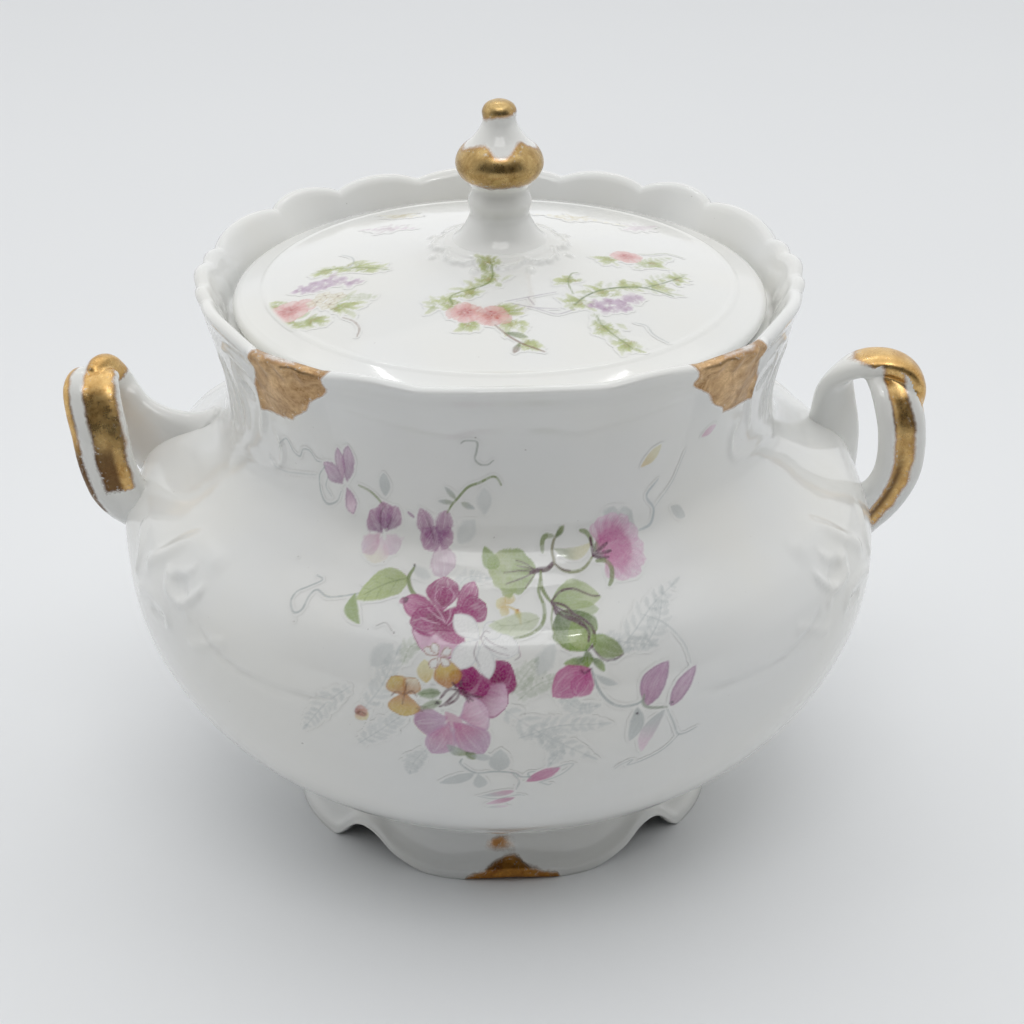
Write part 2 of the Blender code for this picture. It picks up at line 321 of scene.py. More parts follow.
def collar_shape(radius, height, azimuth):
    """The collar's points, given the corners' flare and the scallops, which stand taller at the back."""
    share = collar_share(height)
    lobes = scallop(azimuth)
    rear = smoothstep(60, 150, np.abs(wrapped(azimuth)))
    lift = (SCALLOP_HEIGHT - 0.2 + 0.8 * rear) * (lobes - 0.6) * np.clip(share - 0.55, 0, 1) / 0.45
    flare = CORNER_FLARE * corner(azimuth) + 0.9 * (lobes - 0.5)
    return radius + share * flare, height + lift


def near_edge(distance):
    """Signed distance to the edge of the gilding, which is only needed near that edge."""
    return np.clip(distance, -GOLD_REACH, GOLD_REACH)


def bowl():
    """The body as one turned skin: underside, outside with its relief, lip, collar and ledge, then inside."""
    azimuth = columns()
    cols = len(azimuth)
    under, outside = curve(BOWL_UNDERSIDE, 8), curve(BOWL_OUTSIDE, 158)
    r, z = spun(outside, cols)
    az = np.tile(azimuth, (len(outside), 1))
    relief, normal = bowl_relief(az, z), outward(outside)
    r, z = collar_shape(r, z, az)
    parts = [spun(under, cols), (r + normal[:, :1] * relief, z + normal[:, 1:] * relief)]
    for profile, count in ((LIP, 5), (COLLAR_INSIDE, 14)):
        parts.append(collar_shape(*spun(curve(profile, count), cols), azimuth[None]))
    parts.append(spun(curve(BOWL_INSIDE, 46), cols))
    radius, height = (np.vstack(rows) for rows in zip(*parts))
    radius[-1] = 0
    azimuths = np.tile(azimuth, (len(radius), 1))
    vertices, faces, index = lathe(radius, azimuths, height)
    made = make_object("bowl_body.porcelain", vertices, faces)
    gold = np.full(len(vertices), -GOLD_REACH)
    lip_rows = 3
    gilded_rows = slice(len(under), len(under) + len(outside) + lip_rows)
    gold[index[gilded_rows]] = bowl_gold(azimuths[gilded_rows], height[gilded_rows])
    store(made, "gold", gold)
    return made


def bowl_gold(azimuth, height):
    """How far inside a gilded patch each point of the outside is, in mm: one patch on each corner of the rim.
    It runs over the crest of the lip in front, and ends under the lip at the back."""
    a = folded(azimuth)
    below = RIM_HEIGHT - height
    per_degree = math.radians(COLLAR_ARC_RADIUS)
    inner = (a - 33.0 - 1.15 * np.clip(below - 2.6, 0, 10) - 0.4 * np.sin(below * 1.4)) * per_degree
    outer = (49.6 + 0.30 * below - a) * per_degree
    lower = height - 94.6 - 0.10 * (54 - a)
    at_back = np.abs(wrapped(azimuth)) > 90
    upper = np.where(at_back, below - 1.6, below + 1.5)
    return near_edge(np.minimum(np.minimum(inner, outer), np.minimum(lower, upper)))


# ---------------------------------------------------------------- foot

ARCH_HEIGHT = 5.8


def foot_edge(azimuth):
    """Height of the skirt's lower edge. Each lobe is bracket-shaped: a raised point in the middle, toes on
    both sides of it that stand on the ground, then an S-curve up to the arch between the lobes."""
    off = folded(azimuth)
    front = np.interp(off, [0, 2.5, 6, 11, 15, 18, 21, 24, 28, 32, 35, 38, 41.5],
                      [1.2, 1.1, 0.9, 0.45, 0.05, 0, 0.15, 0.6, 1.5, 2.7, 4.4, 5.5, ARCH_HEIGHT])
    side = np.interp(90 - off, [0, 2.5, 6, 11, 20, 37, 39.5, 41.5, 43.5, 46, 48.5],
                     [1.2, 1.1, 0.9, 0.3, 0.0, 0.0, 0.4, 1.6, 3.6, 5.2, ARCH_HEIGHT])
    return np.where(off < 41.5, front, side)


def foot():
    """The skirt as one closed turned skin, whose last row is joined to the first."""
    azimuth = np.arange(0, 360, 0.75)[None, :]
    edge = foot_edge(azimuth)
    for _ in range(3):
        edge = (np.roll(edge, 1) + 2 * edge + np.roll(edge, -1)) / 4
    top = FOOT_HIGH[2] + 0.25
    rows = []
    # outside, from the crease under the belly over the rounded band and down the flaring skirt, whose lobes
    # stand out except at the sides
    lobes = 0.9 * np.clip(1 - edge / ARCH_HEIGHT, 0, 1) - 0.6 - 3.0 * gauss(90 - folded(azimuth), 15)
    for share in np.linspace(0, 1, 22):
        flare = (FOOT_RADIUS - 40.0) * share**1.5
        band = 0.75 * gauss(share - 0.14, 0.11)
        z = top + (edge - top) * share
        crest = 0.45 * gauss(z - edge - 1.6, 0.9) * (share > 0.3)
        rows.append((39.9 + flare + band + lobes * share + crest, z))
    outer = rows[-1][0]
    # round the lower edge, then up the inside
    half_edge = 1.4
    for angle in np.pi * np.linspace(0.15, 1, 6):
        rows.append((outer - half_edge * (1 - math.cos(angle)), edge - 0.5 * math.sin(angle)))
    inner, inner_top = outer - 2 * half_edge, 37.2
    for share in np.linspace(0.15, 1, 10):
        rows.append((inner - share * (inner - inner_top), edge + (top - edge) * share))
    radius, height = (np.vstack(parts) for parts in zip(*rows))
    height = np.maximum(height, 0.0)
    cols = azimuth.size
    vertices, faces, index = lathe(radius, np.repeat(azimuth, len(rows), 0), height)
    for j in range(cols):
        k = (j + 1) % cols
        faces.append([index[-1, j], index[-1, k], index[0, k], index[0, j]])
    made = make_object("foot_ring.porcelain", vertices, faces)
    # a worn mound of gold in the middle of the front and rear lobes, and a rubbed spot over it
    az = np.degrees(np.arctan2(vertices[:, 0], -vertices[:, 1]))
    across = np.where(np.abs(az) < 90, az, np.sign(az) * 180 - az) * math.radians(FOOT_RADIUS)
    z = vertices[:, 2]
    mound_top = np.interp(across, [-9.6, -8.6, -5.5, -2.8, -0.5, 1.8, 3.6, 6, 9, 10.4],
                          [-2, 0.9, 2.4, 4.2, 4.9, 4.7, 3.0, 2.1, 1.5, -2])
    mound = 0.8 * (mound_top - z)
    smear = 0.55 - np.hypot((across + 2.0) / 3.8, (z - 7.2) / 2.4)
    store(made, "gold", near_edge(np.maximum(mound, smear)))
    return made


# ---------------------------------------------------------------- handles

# Each handle is an arch and a front strand: (out from the axis, back, up, width, thickness) along each, as in
# the CAD model. The ribbon's width points along the first lean at its start, and turns to the second towards
# its end.
HANDLES = {
    "handle_right": {
        "side": 1,
        "arch": [
            (63.8, 9.8, 57.0, 9.6, 5.4), (66.2, 9.6, 61.5, 9.6, 5.0), (67.0, 9.3, 66.0, 9.4, 4.4),
            (66.6, 9.0, 70.5, 9.3, 4.2), (65.9, 8.6, 74.8, 9.1, 4.2), (65.7, 7.8, 79.2, 8.9, 4.2),
            (67.4, 6.6, 82.6, 8.7, 4.3), (71.0, 5.2, 84.6, 8.5, 4.4), (75.2, 4.0, 84.9, 8.2, 4.4),
            (78.4, 3.0, 83.4, 7.6, 4.4), (79.9, 2.2, 80.4, 6.4, 4.2), (80.2, 1.8, 76.6, 3.0, 2.8),
        ],
        "arch_leans": ((1.0, 0.25, 0.0), (0.1, 1.0, 0.0)),
        "strand": [
            (74.2, 3.4, 82.9, 8.4, 3.4), (75.2, 0.9, 81.2, 9.0, 3.8), (76.0, -1.2, 78.6, 9.3, 4.2),
            (76.7, -2.8, 75.0, 9.4, 4.3), (77.0, -3.6, 70.4, 9.3, 4.4), (76.6, -4.0, 65.9, 9.2, 4.4),
            (75.0, -4.0, 61.6, 9.0, 4.5), (72.4, -3.5, 57.6, 9.2, 4.8), (69.6, -2.4, 54.6, 9.8, 5.2),
            (67.4, -1.4, 52.8, 10.2, 5.4),
        ],
        "strand_leans": ((1.0, 0.12, 0.0), (1.0, 0.12, 0.0)),
        "groove": 1.1,
    },
    "handle_left": {
        "side": -1,
        "arch": [
            (53.5, 2.0, 70.0, 13.0, 8.0), (59.0, 2.4, 70.6, 13.4, 6.6), (64.0, 3.4, 71.6, 13.0, 6.0),
            (68.0, 4.6, 73.4, 12.4, 5.4), (71.2, 5.8, 76.4, 11.0, 4.9), (73.2, 6.6, 80.2, 9.6, 4.6),
            (74.0, 6.4, 83.4, 8.2, 4.5), (74.6, 5.2, 85.6, 7.0, 4.4), (75.6, 3.4, 86.2, 6.2, 4.2),
            (76.4, 1.8, 85.6, 5.2, 3.6),
        ],
        "arch_leans": ((-0.3, 0.1, 1.0), (-0.2, 0.1, 1.0)),
        "strand": [
            (75.0, 4.0, 85.2, 8.0, 3.4), (76.0, 1.8, 86.0, 9.6, 4.0), (76.4, -0.8, 84.8, 10.6, 4.4),
            (75.9, -3.0, 81.8, 10.8, 4.4), (75.0, -4.8, 77.8, 10.8, 4.4), (74.4, -5.8, 73.5, 10.8, 4.4),
            (73.6, -6.2, 69.4, 10.6, 4.5), (72.6, -5.9, 65.8, 10.4, 4.8), (70.6, -4.9, 62.6, 10.6, 5.2),
            (67.6, -3.6, 60.4, 11.0, 5.6),
        ],
        "strand_leans": ((1.0, 0.15, 0.0), (1.0, 0.15, 0.0)),
        "groove": 0.6,
    },
}
HANDLE_VOXEL = 0.32
STRAND_STEPS = 90
RING_POINTS = 56
ROOT_DEPTH = 1.6


def sweep(path, leans, side, groove):
    """A ribbon swept along its path with grooved faces: vertices, faces and its frame along the path."""
    points = curve(path, STRAND_STEPS)
    centre = points[:, :3] * (side, 1, 1)
    turned = smoothstep(0.30, 0.72, np.linspace(0, 1, len(points)))[:, None]
    lean = ((1 - turned) * np.array(leans[0]) + turned * np.array(leans[1])) * (side, 1, 1)
    along = np.gradient(centre, axis=0)
    along /= np.linalg.norm(along, axis=1)[:, None]
    across = lean - along * (along * lean).sum(1)[:, None]
    across /= np.linalg.norm(across, axis=1)[:, None]
    out = np.cross(along, across)
    turn = np.linspace(0, 2 * math.pi, RING_POINTS, endpoint=False)
    c, s = np.cos(turn), np.sin(turn)
    u = np.sign(c) * np.abs(c) ** 0.8
    v = np.sign(s) * np.abs(s) ** 0.8
    dip = groove * gauss(u, 0.42) * (0.55 + 0.45 * (np.abs(v) > 0.3))
    half_w, half_t = points[:, 3:4] / 2, points[:, 4:5] / 2
    face = half_t * v - np.minimum(dip, 1.0) * np.sign(v) * np.minimum(half_t * 0.4, 1.0)
    rings = centre[:, None] + across[:, None] * (half_w * u)[..., None] + out[:, None] * face[..., None]
    count = len(turn)
    faces = []
    for i in range(len(rings) - 1):
        for j in range(count):
            k = (j + 1) % count
            faces.append([i * count + j, i * count + k, (i + 1) * count + k, (i + 1) * count + j])
    faces.append(list(range(count))[::-1])
    faces.append(list(range((len(rings) - 1) * count, len(rings) * count)))
    return rings.reshape(-1, 3), faces, (centre, across, out, half_w[:, 0])


def outside_radius(height):
    """Radius of the bowl's outside at a height."""
    profile = curve(BOWL_OUTSIDE, 200)
    return np.interp(height, profile[:, 1], profile[:, 0])


def nearest(points, centres, block=4000):
    """Index of the nearest centre for each point, worked out a block at a time."""
    blocks = [points[start:start + block, None] - centres for start in range(0, len(points), block)]
    return np.concatenate([np.argmin((away**2).sum(2), axis=1) for away in blocks])


def depth_in_wall(points):
    """How far inside the bowl's outside the points are."""
    up = points[:, 2]
    slope = (outside_radius(up + 0.3) - outside_radius(up - 0.3)) / 0.6
    return (outside_radius(up) - np.hypot(points[:, 0], points[:, 1])) / np.sqrt(1 + slope**2)


def handle(name):
    """Both strands melted into one skin, which spreads a little near the body, with its roots just inside the
    wall."""
    shape = HANDLES[name]
    side = shape["side"]
    arch = sweep(shape["arch"], shape["arch_leans"], side, 0.0)
    front = sweep(shape["strand"], shape["strand_leans"], side, shape["groove"])
    offset = len(arch[0])
    vertices = np.vstack([arch[0], front[0]])
    faces = arch[1] + [[i + offset for i in f] for f in front[1]]
    rough = make_object(name + ".rough", vertices, faces)
    remesh = rough.modifiers.new("blend", "REMESH")
    remesh.mode = "VOXEL"
    remesh.voxel_size = HANDLE_VOXEL * MM
    smooth = rough.modifiers.new("smooth", "SMOOTH")
    smooth.factor = 0.5
    smooth.iterations = 9
    evaluated = rough.evaluated_get(bpy.context.evaluated_depsgraph_get())
    mesh = bpy.data.meshes.new_from_object(evaluated)
    bpy.data.objects.remove(rough)
    points = np.zeros(len(mesh.vertices) * 3)
    mesh.vertices.foreach_get("co", points)
    points = points.reshape(-1, 3) / MM

    centres = np.vstack([arch[2][0], front[2][0]])
    away = points - centres[nearest(points, centres)]
    spread = 0.30 * np.exp(-np.clip(-depth_in_wall(points), 0, 20) / 1.8)
    points = points + away * spread[:, None]
    radius = np.hypot(points[:, 0], points[:, 1])
    kept = np.maximum(radius, outside_radius(points[:, 2]) - ROOT_DEPTH)
    points[:, :2] *= (kept / radius)[:, None]

    mesh.vertices.foreach_set("co", (points * MM).ravel())
    mesh.update()
    made = adopt(name + ".porcelain", mesh)
    gold, painted_reflection = handle_gold(points, arch[2], front[2], name)
    store(made, "gold", gold)
    # the share of painted dark reflection, which the material uses to darken the gold
    store(made, "painted_reflection", painted_reflection)
    return made


def strand_place(points, strand):
    """For each point the nearest place along a strand (0 to 1), how far across the strand it is in
    half-widths, how far out of its middle plane in mm, and its distance."""
    centre, across, out, half_width = strand
    place = nearest(points, centre)
    away = points - centre[place]
    u = (away * across[place]).sum(1) / half_width[place]
    v = (away * out[place]).sum(1)
    return place / (len(centre) - 1), u, v, np.linalg.norm(away, axis=1)


def strand_centre(strand, t):
    """The middle of a strand at this share of its length."""
    return strand[0][np.rint(t * (STRAND_STEPS - 1)).astype(int)]


def handle_gold(points, arch, front, name):
    """Signed distance in mm to the edge of the gilding on a handle, and how much painted dark reflection
    turns its gold near-black brown there.
    """
    t, _, _, d = strand_place(points, arch)
    tf, uf, vf, df = strand_place(points, front)
    on_front = df < d + 0.3
    half_width = 4.6 if name == "handle_right" else 5.3
    length = 40
    if name == "handle_right":
        # Gold lies in the groove of the front strand, and over the top and the curled tip of the arch.
        facing = np.where(points[:, 1] < strand_centre(front, tf)[:, 1], 1.0, -1.0) * np.abs(vf)
        groove = np.minimum((0.44 - np.abs(uf)) * half_width, facing + 0.2)
        on_strand = np.minimum(groove, (0.86 - tf) * length)
        top_side = np.where(t < 0.72, points[:, 2] - strand_centre(arch, t)[:, 2] + 0.4, 3.0)
        on_arch = np.minimum(top_side - 1.4 + (t - 0.64) * 20, np.minimum(top_side, 2.0))
        # painted dark reflection: the gold goes near-black brown in the middle of the strand's lower part
        reflection_amount = smoothstep(0.30, 0.58, tf) * gauss(uf + 0.12, 0.22)
    else:
        # Gold lies in a wide band and a narrow outer one along the front strand, and over the arch's tip.
        inner = np.minimum((0.24 - uf) * half_width, (uf + 0.90) * half_width)
        outer = (uf - 0.66) * half_width
        on_strand = np.maximum(np.minimum(inner, (0.74 - tf) * length),
                               np.minimum(outer, (0.84 - tf) * length))
        on_arch = np.minimum((t - 0.80) * 30, 2.0)
        # painted dark reflection: the gold goes near-black brown on the inner side of the strand's lower part
        reflection_amount = smoothstep(0.42, 0.56, tf) * smoothstep(-0.62, -0.35, uf)
    return near_edge(np.where(on_front, on_strand, on_arch)), reflection_amount * on_front


# ---------------------------------------------------------------- lid and finial

LID_TOP = [
    (0.0, 113.2), (9.0, 112.6), (11.0, 111.9), (16.0, 110.6), (26.0, 109.0), (36.0, 106.9), (44.0, 104.9),
]
LID_EDGE = [(47.0, 104.2), (48.3, 103.6), (LID_RADIUS, 102.8), (LID_RADIUS, 102.0), (48.1, LID_UNDERSIDE)]
LID_BELOW = [
    (46.6, LID_UNDERSIDE), (45.0, 100.7), (44.7, 98.0), (44.4, 95.4), (43.1, LID_LOW[2]), (41.9, 95.4),
    (41.6, 100.6), (38.0, 103.2), (30.0, 105.4), (12.0, 108.2), (0.0, 108.6),
]
FINIAL = [
    (0.0, 110.6), (11.8, 110.9), (10.6, 111.95), (8.9, 112.75), (7.2, 114.3), (5.8, 116.6), (5.4, 118.0),
    (5.7, 119.3), (5.75, 120.4), (5.25, 121.6), (5.1, 122.9), (5.9, 123.9), (7.2, 125.2), (7.9, 127.2),
    (7.1, 129.5), (4.8, 131.7), (3.35, 133.8), (2.95, 135.2), (3.1, 136.5), (2.5, 137.7), (1.2, 138.4),
    (0.0, FINIAL_HIGH[2]),
]


def lid_height(radius):
    """Height of the lid's top before its relief."""
    profile = curve(LID_TOP + LID_EDGE[:1], 200)
    return np.interp(radius, profile[:, 0], profile[:, 1])


def lid_relief(radius, azimuth):
    """Embossed leaves and beads around the finial, and fine turned ridges near the edge."""
    lobe = np.abs(np.cos(np.radians(azimuth * 4)))
    frill = np.abs(np.cos(np.radians(azimuth * 16)))
    reach = 10.6 + 1.9 * lobe**0.8 + 0.3 * frill
    edge = radius - reach
    relief = 0.30 * smoothstep(0.5, -0.5, edge) * smoothstep(6.8, 8.6, radius)
    relief += 0.38 * gauss(edge + 0.5, 0.38) * (radius > 9)
    for step in range(8):
        turned = wrapped(azimuth - 22.5 - 45 * step)
        bead = np.hypot(np.radians(turned) * radius, radius - 13.2)
        relief += 0.42 * smoothstep(1.2, 0.3, bead)
    relief += 0.18 * gauss(radius - 43.0, 0.55) + 0.20 * gauss(radius - 45.6, 0.5)
    relief -= 0.10 * gauss(radius - 44.3, 0.5)
    return relief


def lid():
    """The lid as one turned skin: embossed top, rolled edge, flange and hollow underside."""
    top = curve(LID_TOP, 130)
    profile = np.vstack([top, curve(LID_EDGE, 14), curve(LID_BELOW, 44)])
    azimuth = np.tile(np.arange(0, 360, 1.0), (len(profile), 1))
    r, z = spun(profile, azimuth.shape[1])
    embossed = slice(0, len(top) + 6)
    z[embossed] += lid_relief(r[embossed], azimuth[embossed])
    r[0] = r[-1] = 0
    z[0], z[-1] = z[0].mean(), z[-1].mean()
    vertices, faces, _ = lathe(r[::-1], azimuth, z[::-1])
    return make_object("lid.porcelain", vertices, faces)


def finial():
    """The knob, turned, with its stem and its flared foot sunk in the lid."""
    profile = curve(FINIAL, 120)
    azimuth = np.tile(np.arange(0, 360, 3.0), (len(profile), 1))
    r, z = spun(profile, azimuth.shape[1])
    r[0] = r[-1] = 0
    vertices, faces, _ = lathe(r, azimuth, z)
    made = make_object("finial.porcelain", vertices, faces)
    # gold on the lower half of the bulb, up to a wavy edge, and on the tip
    height = vertices[:, 2]
    az = np.arctan2(vertices[:, 0], -vertices[:, 1])
    bulb_top = 130.3 + 1.2 * np.sin(2 * az) ** 2 - 0.3 * np.sin(5 * az + 1)
    band = np.minimum(height - 124.2, bulb_top - height)
    tip = height - 135.9 - 0.8 * np.sin(az)
    store(made, "gold", near_edge(np.maximum(band, tip)))
    return made


# ---------------------------------------------------------------- printed sprays

# The sprays are painted on flat sheets, in mm across (to the right) and up. On the bowl a sheet is wrapped
# around, with its middle at an azimuth. Up is then the way along the bowl's outside from its widest ring, and
# across is measured at ARC_RADIUS. On the lid the sheet lies flat: across is x and up is y.
# A cell of the grid, and how far the printed skin stands over the glaze and goes into it
CELL = 0.22
PRINT_ABOVE = 0.045
PRINT_BELOW = 0.02

WINE = (0.20, 0.0, 0.075)
MAGENTA = (0.31, 0.0, 0.14)
CRIMSON = (0.32, 0.025, 0.16)
ROSE = (0.48, 0.08, 0.26)
PINK = (0.54, 0.16, 0.34)
PALE_PINK = (0.72, 0.48, 0.62)
MAUVE = (0.38, 0.14, 0.30)
LILAC = (0.27, 0.09, 0.24)
PALE_LILAC = (0.50, 0.28, 0.45)
LEAF = (0.21, 0.32, 0.045)
DEEP_LEAF = (0.07, 0.13, 0.015)
OLIVE = (0.17, 0.23, 0.05)
GREY = (0.36, 0.40, 0.40)
PALE_GREY = (0.44, 0.48, 0.48)
PLUM = (0.075, 0.006, 0.04)
YELLOW = (0.60, 0.42, 0.06)
PALE_YELLOW = (0.68, 0.62, 0.30)
ORANGE = (0.48, 0.20, 0.04)
BROWN = (0.17, 0.07, 0.03)
CREAM = (0.72, 0.66, 0.50)
DARK = (0.06, 0.05, 0.04)
STREAK = (0.80, 0.78, 0.79)


class Sheet:
    """A printed sheet: a grid of colour and cover that strokes are painted on."""

    def __init__(self, left, right, low, high, seed):
        self.left, self.low = left, low
        cols, rows = int((right - left) / CELL) + 1, int((high - low) / CELL) + 1
        self.colour = np.ones((rows, cols, 3))
        self.cover = np.zeros((rows, cols))
        rng = np.random.default_rng(seed)
        self.fine = self.noise(rng, 1.0)
        self.broad = self.noise(rng, 3.5)
        self.tiny = rng.random((rows, cols))

    def noise(self, rng, size):
        """Smooth noise from 0 to 1 with features of about this many mm."""
        rows, cols = self.cover.shape
        step = size / CELL
        coarse = rng.random((int(rows / step) + 3, int(cols / step) + 3))
        y, x = np.arange(rows) / step, np.arange(cols) / step
        j, i = y.astype(int), x.astype(int)
        fy, fx = smoothstep(0, 1, y - j)[:, None], smoothstep(0, 1, x - i)[None, :]
        a, b = coarse[np.ix_(j, i)], coarse[np.ix_(j, i + 1)]
        c, d = coarse[np.ix_(j + 1, i)], coarse[np.ix_(j + 1, i + 1)]
        return (a * (1 - fx) + b * fx) * (1 - fy) + (c * (1 - fx) + d * fx) * fy

    def window(self, points, margin):
        """The part of the grid around the points, with each cell's place in mm."""
        p = np.array(points, float)
        rows, cols = self.cover.shape
        i0 = int(np.clip((p[:, 0].min() - margin - self.left) / CELL, 0, cols - 1))
        i1 = int(np.clip((p[:, 0].max() + margin - self.left) / CELL, 1, cols)) + 1
        j0 = int(np.clip((p[:, 1].min() - margin - self.low) / CELL, 0, rows - 1))
        j1 = int(np.clip((p[:, 1].max() + margin - self.low) / CELL, 1, rows)) + 1
        part = (slice(j0, j1), slice(i0, i1))
        x = self.left + CELL * np.arange(cols)[None, i0:i1]
        y = self.low + CELL * np.arange(rows)[j0:j1, None]
        return part, x + 0 * y, y + 0 * x

    def lay(self, part, colour, cover):
        """Lays a colour over part of the sheet. Where the sheet was bare the new colour is taken as it is."""
        old = self.cover[part]
        total = cover + old * (1 - cover)
        share = np.where(total > 1e-6, cover / np.maximum(total, 1e-6), 1.0)[..., None]
        bare = (old < 1e-3)[..., None]
        self.colour[part] = np.where(bare, colour, self.colour[part] * (1 - share) + colour * share)
        self.cover[part] = total

    def line(self, points, width, colour, cover=0.9, taper=0.5, broken=0.25):
        """A drawn line. It thins to this share of its width at its ends."""
        path = curve(points, max(12, 5 * len(points)))
        part, x, y = self.window(path, width + 0.5)
        away, where = nearest_on(path, x, y)
        half = width / 2 * (taper + (1 - taper) * np.sin(np.pi * where) ** 0.5)
        ink = smoothstep(half + 0.16, half - 0.12, away) * cover
        ink = ink * (1 - broken * (self.fine[part] > 0.62))
        self.lay(part, np.array(colour), ink)

    def petal(self, base, tip, width, near, far, cover=0.95, bend=0.0, fullness=0.55, streak=0.3, edge=None,
              rim=0.35, ragged=0.35, soft=0.22):
        """A petal or leaf from base to tip, shaded from the near to the far colour, with streaks along it.
        Bend moves its middle sideways in mm, and fullness is how far along it the widest place is. Its edge
        can be drawn in a colour, over a rim in mm. Its outline is ragged, and soft over this many mm."""
        base, tip = np.array(base, float), np.array(tip, float)
        length = np.linalg.norm(tip - base)
        ahead = (tip - base) / length
        aside = np.array([-ahead[1], ahead[0]])
        part, x, y = self.window([base, tip], width * 0.7 + abs(bend) + 1.0)
        dx, dy = x - base[0], y - base[1]
        t = (dx * ahead[0] + dy * ahead[1]) / length
        inside = np.clip(t, 0, 1)
        offset = dx * aside[0] + dy * aside[1] - bend * 4 * inside * (1 - inside)
        shape = np.sin(np.pi * inside ** (math.log(0.5) / math.log(fullness))) ** 0.75
        half = width / 2 * shape * (1 + ragged * 0.35 * (self.fine[part] - 0.5))
        beyond = np.maximum(np.maximum(-t, t - 1), 0) * length
        gap = half - np.abs(offset) - beyond + ragged * 0.5 * (self.tiny[part] - 0.5) * 0.5
        amount = smoothstep(-soft, soft, gap) * cover
        side = offset / np.maximum(half, 0.2)
        shade = smoothstep(0.05, 0.95, inside + 0.35 * (self.broad[part] - 0.5))[..., None]
        colour = np.array(near) * (1 - shade) + np.array(far) * shade
        strokes = np.sin(side * 9 + 3 * self.fine[part] + base[0])
        strokes = strokes * np.sin(3 + side * 17 + 2 * self.broad[part])
        pale = np.clip(strokes, 0, 1) * streak * (0.2 + 0.55 * inside)
        colour = colour * (1 - pale[..., None]) + np.array(STREAK) * pale[..., None]
        colour = colour * (1 - 0.25 * streak * np.clip(-strokes, 0, 1) * (1 - 0.5 * inside))[..., None]
        colour = colour * (0.95 + 0.1 * self.tiny[part])[..., None]
        if edge is not None:
            drawn = gauss(gap - 0.15, rim)[..., None] * 0.85
            colour = colour * (1 - drawn) + np.array(edge) * drawn
        self.lay(part, colour, np.clip(amount * (1 - 0.25 * ragged * self.fine[part]), 0, 1))

    def leaf(self, base, tip, width, colour=LEAF, cover=0.85, bend=0.0, vein=DEEP_LEAF, veins=3):
        """A leaf that is lighter at its tip, with a midrib and pairs of veins."""
        base, tip = np.array(base, float), np.array(tip, float)
        far = tuple(min(1.0, c * 1.25) for c in colour)
        self.petal(base, tip, width, colour, far, cover, bend, 0.42, 0.12, ragged=0.5, soft=0.25)
        ahead = tip - base
        aside = np.array([-ahead[1], ahead[0]]) / np.linalg.norm(ahead)
        shares = ((0, 0), (0.25, 0.75), (0.5, 1), (0.85, 0.5))
        midrib = [base + ahead * at + aside * bend * out for at, out in shares]
        self.line(midrib, 0.22, vein, cover * 0.55, 0.3)
        for k in range(veins):
            at = 0.2 + 0.5 * k / max(veins - 1, 1)
            root = base + ahead * at + aside * bend * 4 * at * (1 - at)
            for turn in (-1, 1):
                self.line([root, root + ahead * 0.12 + aside * turn * width * 0.17,
                           root + ahead * 0.2 + aside * turn * width * 0.33], 0.14, vein, cover * 0.35, 0.2)

    def fern(self, points, reach, colour=PALE_GREY, cover=0.5, pairs=9):
        """A feathery frond: thin leaflets on both sides of a stem."""
        path = curve(points, 40)
        last = len(path) - 1
        self.line(points, 0.22, colour, cover, 0.4)
        for k in range(pairs):
            at = (k + 0.6) / pairs
            i = int(at * last)
            place = path[i]
            ahead = path[min(i + 1, last)] - path[max(i - 1, 0)]
            ahead = ahead / (np.linalg.norm(ahead) + 1e-9)
            aside = np.array([-ahead[1], ahead[0]])
            long = reach * (0.45 + 0.75 * math.sin(math.pi * min(at * 1.1, 1.0)))
            long *= 0.8 + 0.4 * (k * 7 % 5) / 4
            ink = cover * (0.65 + 0.35 * (k * 3 % 4) / 3)
            for turn in (-1, 1):
                end = place + ahead * long * 0.75 + aside * turn * long * 0.7
                self.petal(place, end, 0.85, colour, colour, ink, turn * 0.15, 0.5, 0.1,
                           ragged=1.2, soft=0.28)
        self.petal(path[-3], path[-1] + (path[-1] - path[-5]), 0.6, colour, colour, cover, 0, 0.5, 0.1)

    def tuft(self, centre, reach, colour, far, count=12, cover=0.6, seed=1, low=0.0, high=360.0, width=0.8):
        """Short brush strokes of foliage that spread from a centre between two angles."""
        rng = np.random.default_rng(seed)
        for _ in range(count):
            turn = math.radians(rng.uniform(low, high))
            start = np.array(centre) + rng.normal(0, 0.25, 2) * reach
            long = reach * rng.uniform(0.4, 1.0)
            end = start + long * np.array((math.cos(turn), 0.8 * math.sin(turn)))
            self.petal(start, end, width * rng.uniform(0.7, 1.4), colour, far, cover * rng.uniform(0.5, 1.0),
                       rng.uniform(-0.4, 0.4), 0.5, 0.15, ragged=1.2, soft=0.28)

    def rosette(self, centre, count, reach, width, *brush, start=0.0, squash=1.0, rng=None, wander=0.0,
                shares=None):
        """Petals around a centre, the first at the start angle. With a random source each one wanders by up
        to so many degrees, and can take a random share of the reach."""
        for k in range(count):
            turn = math.radians(360 / count * k + start + (rng.uniform(-wander, wander) if rng else 0))
            long = reach * (rng.uniform(*shares) if shares else 1)
            tip = (centre[0] + long * math.cos(turn), centre[1] + squash * long * math.sin(turn))
            self.petal(centre, tip, width, *brush)

    def dots(self, centre, spread, count, size, colour, cover=0.9, seed=1):
        """Small spots strewn around a centre."""
        rng = np.random.default_rng(seed)
        for _ in range(count):
            place = np.array(centre) + rng.normal(0, 0.5, 2) * spread
            self.petal(place, place + rng.uniform(0.3, 0.6, 2) * size, size, colour, colour, cover, 0, 0.5, 0)


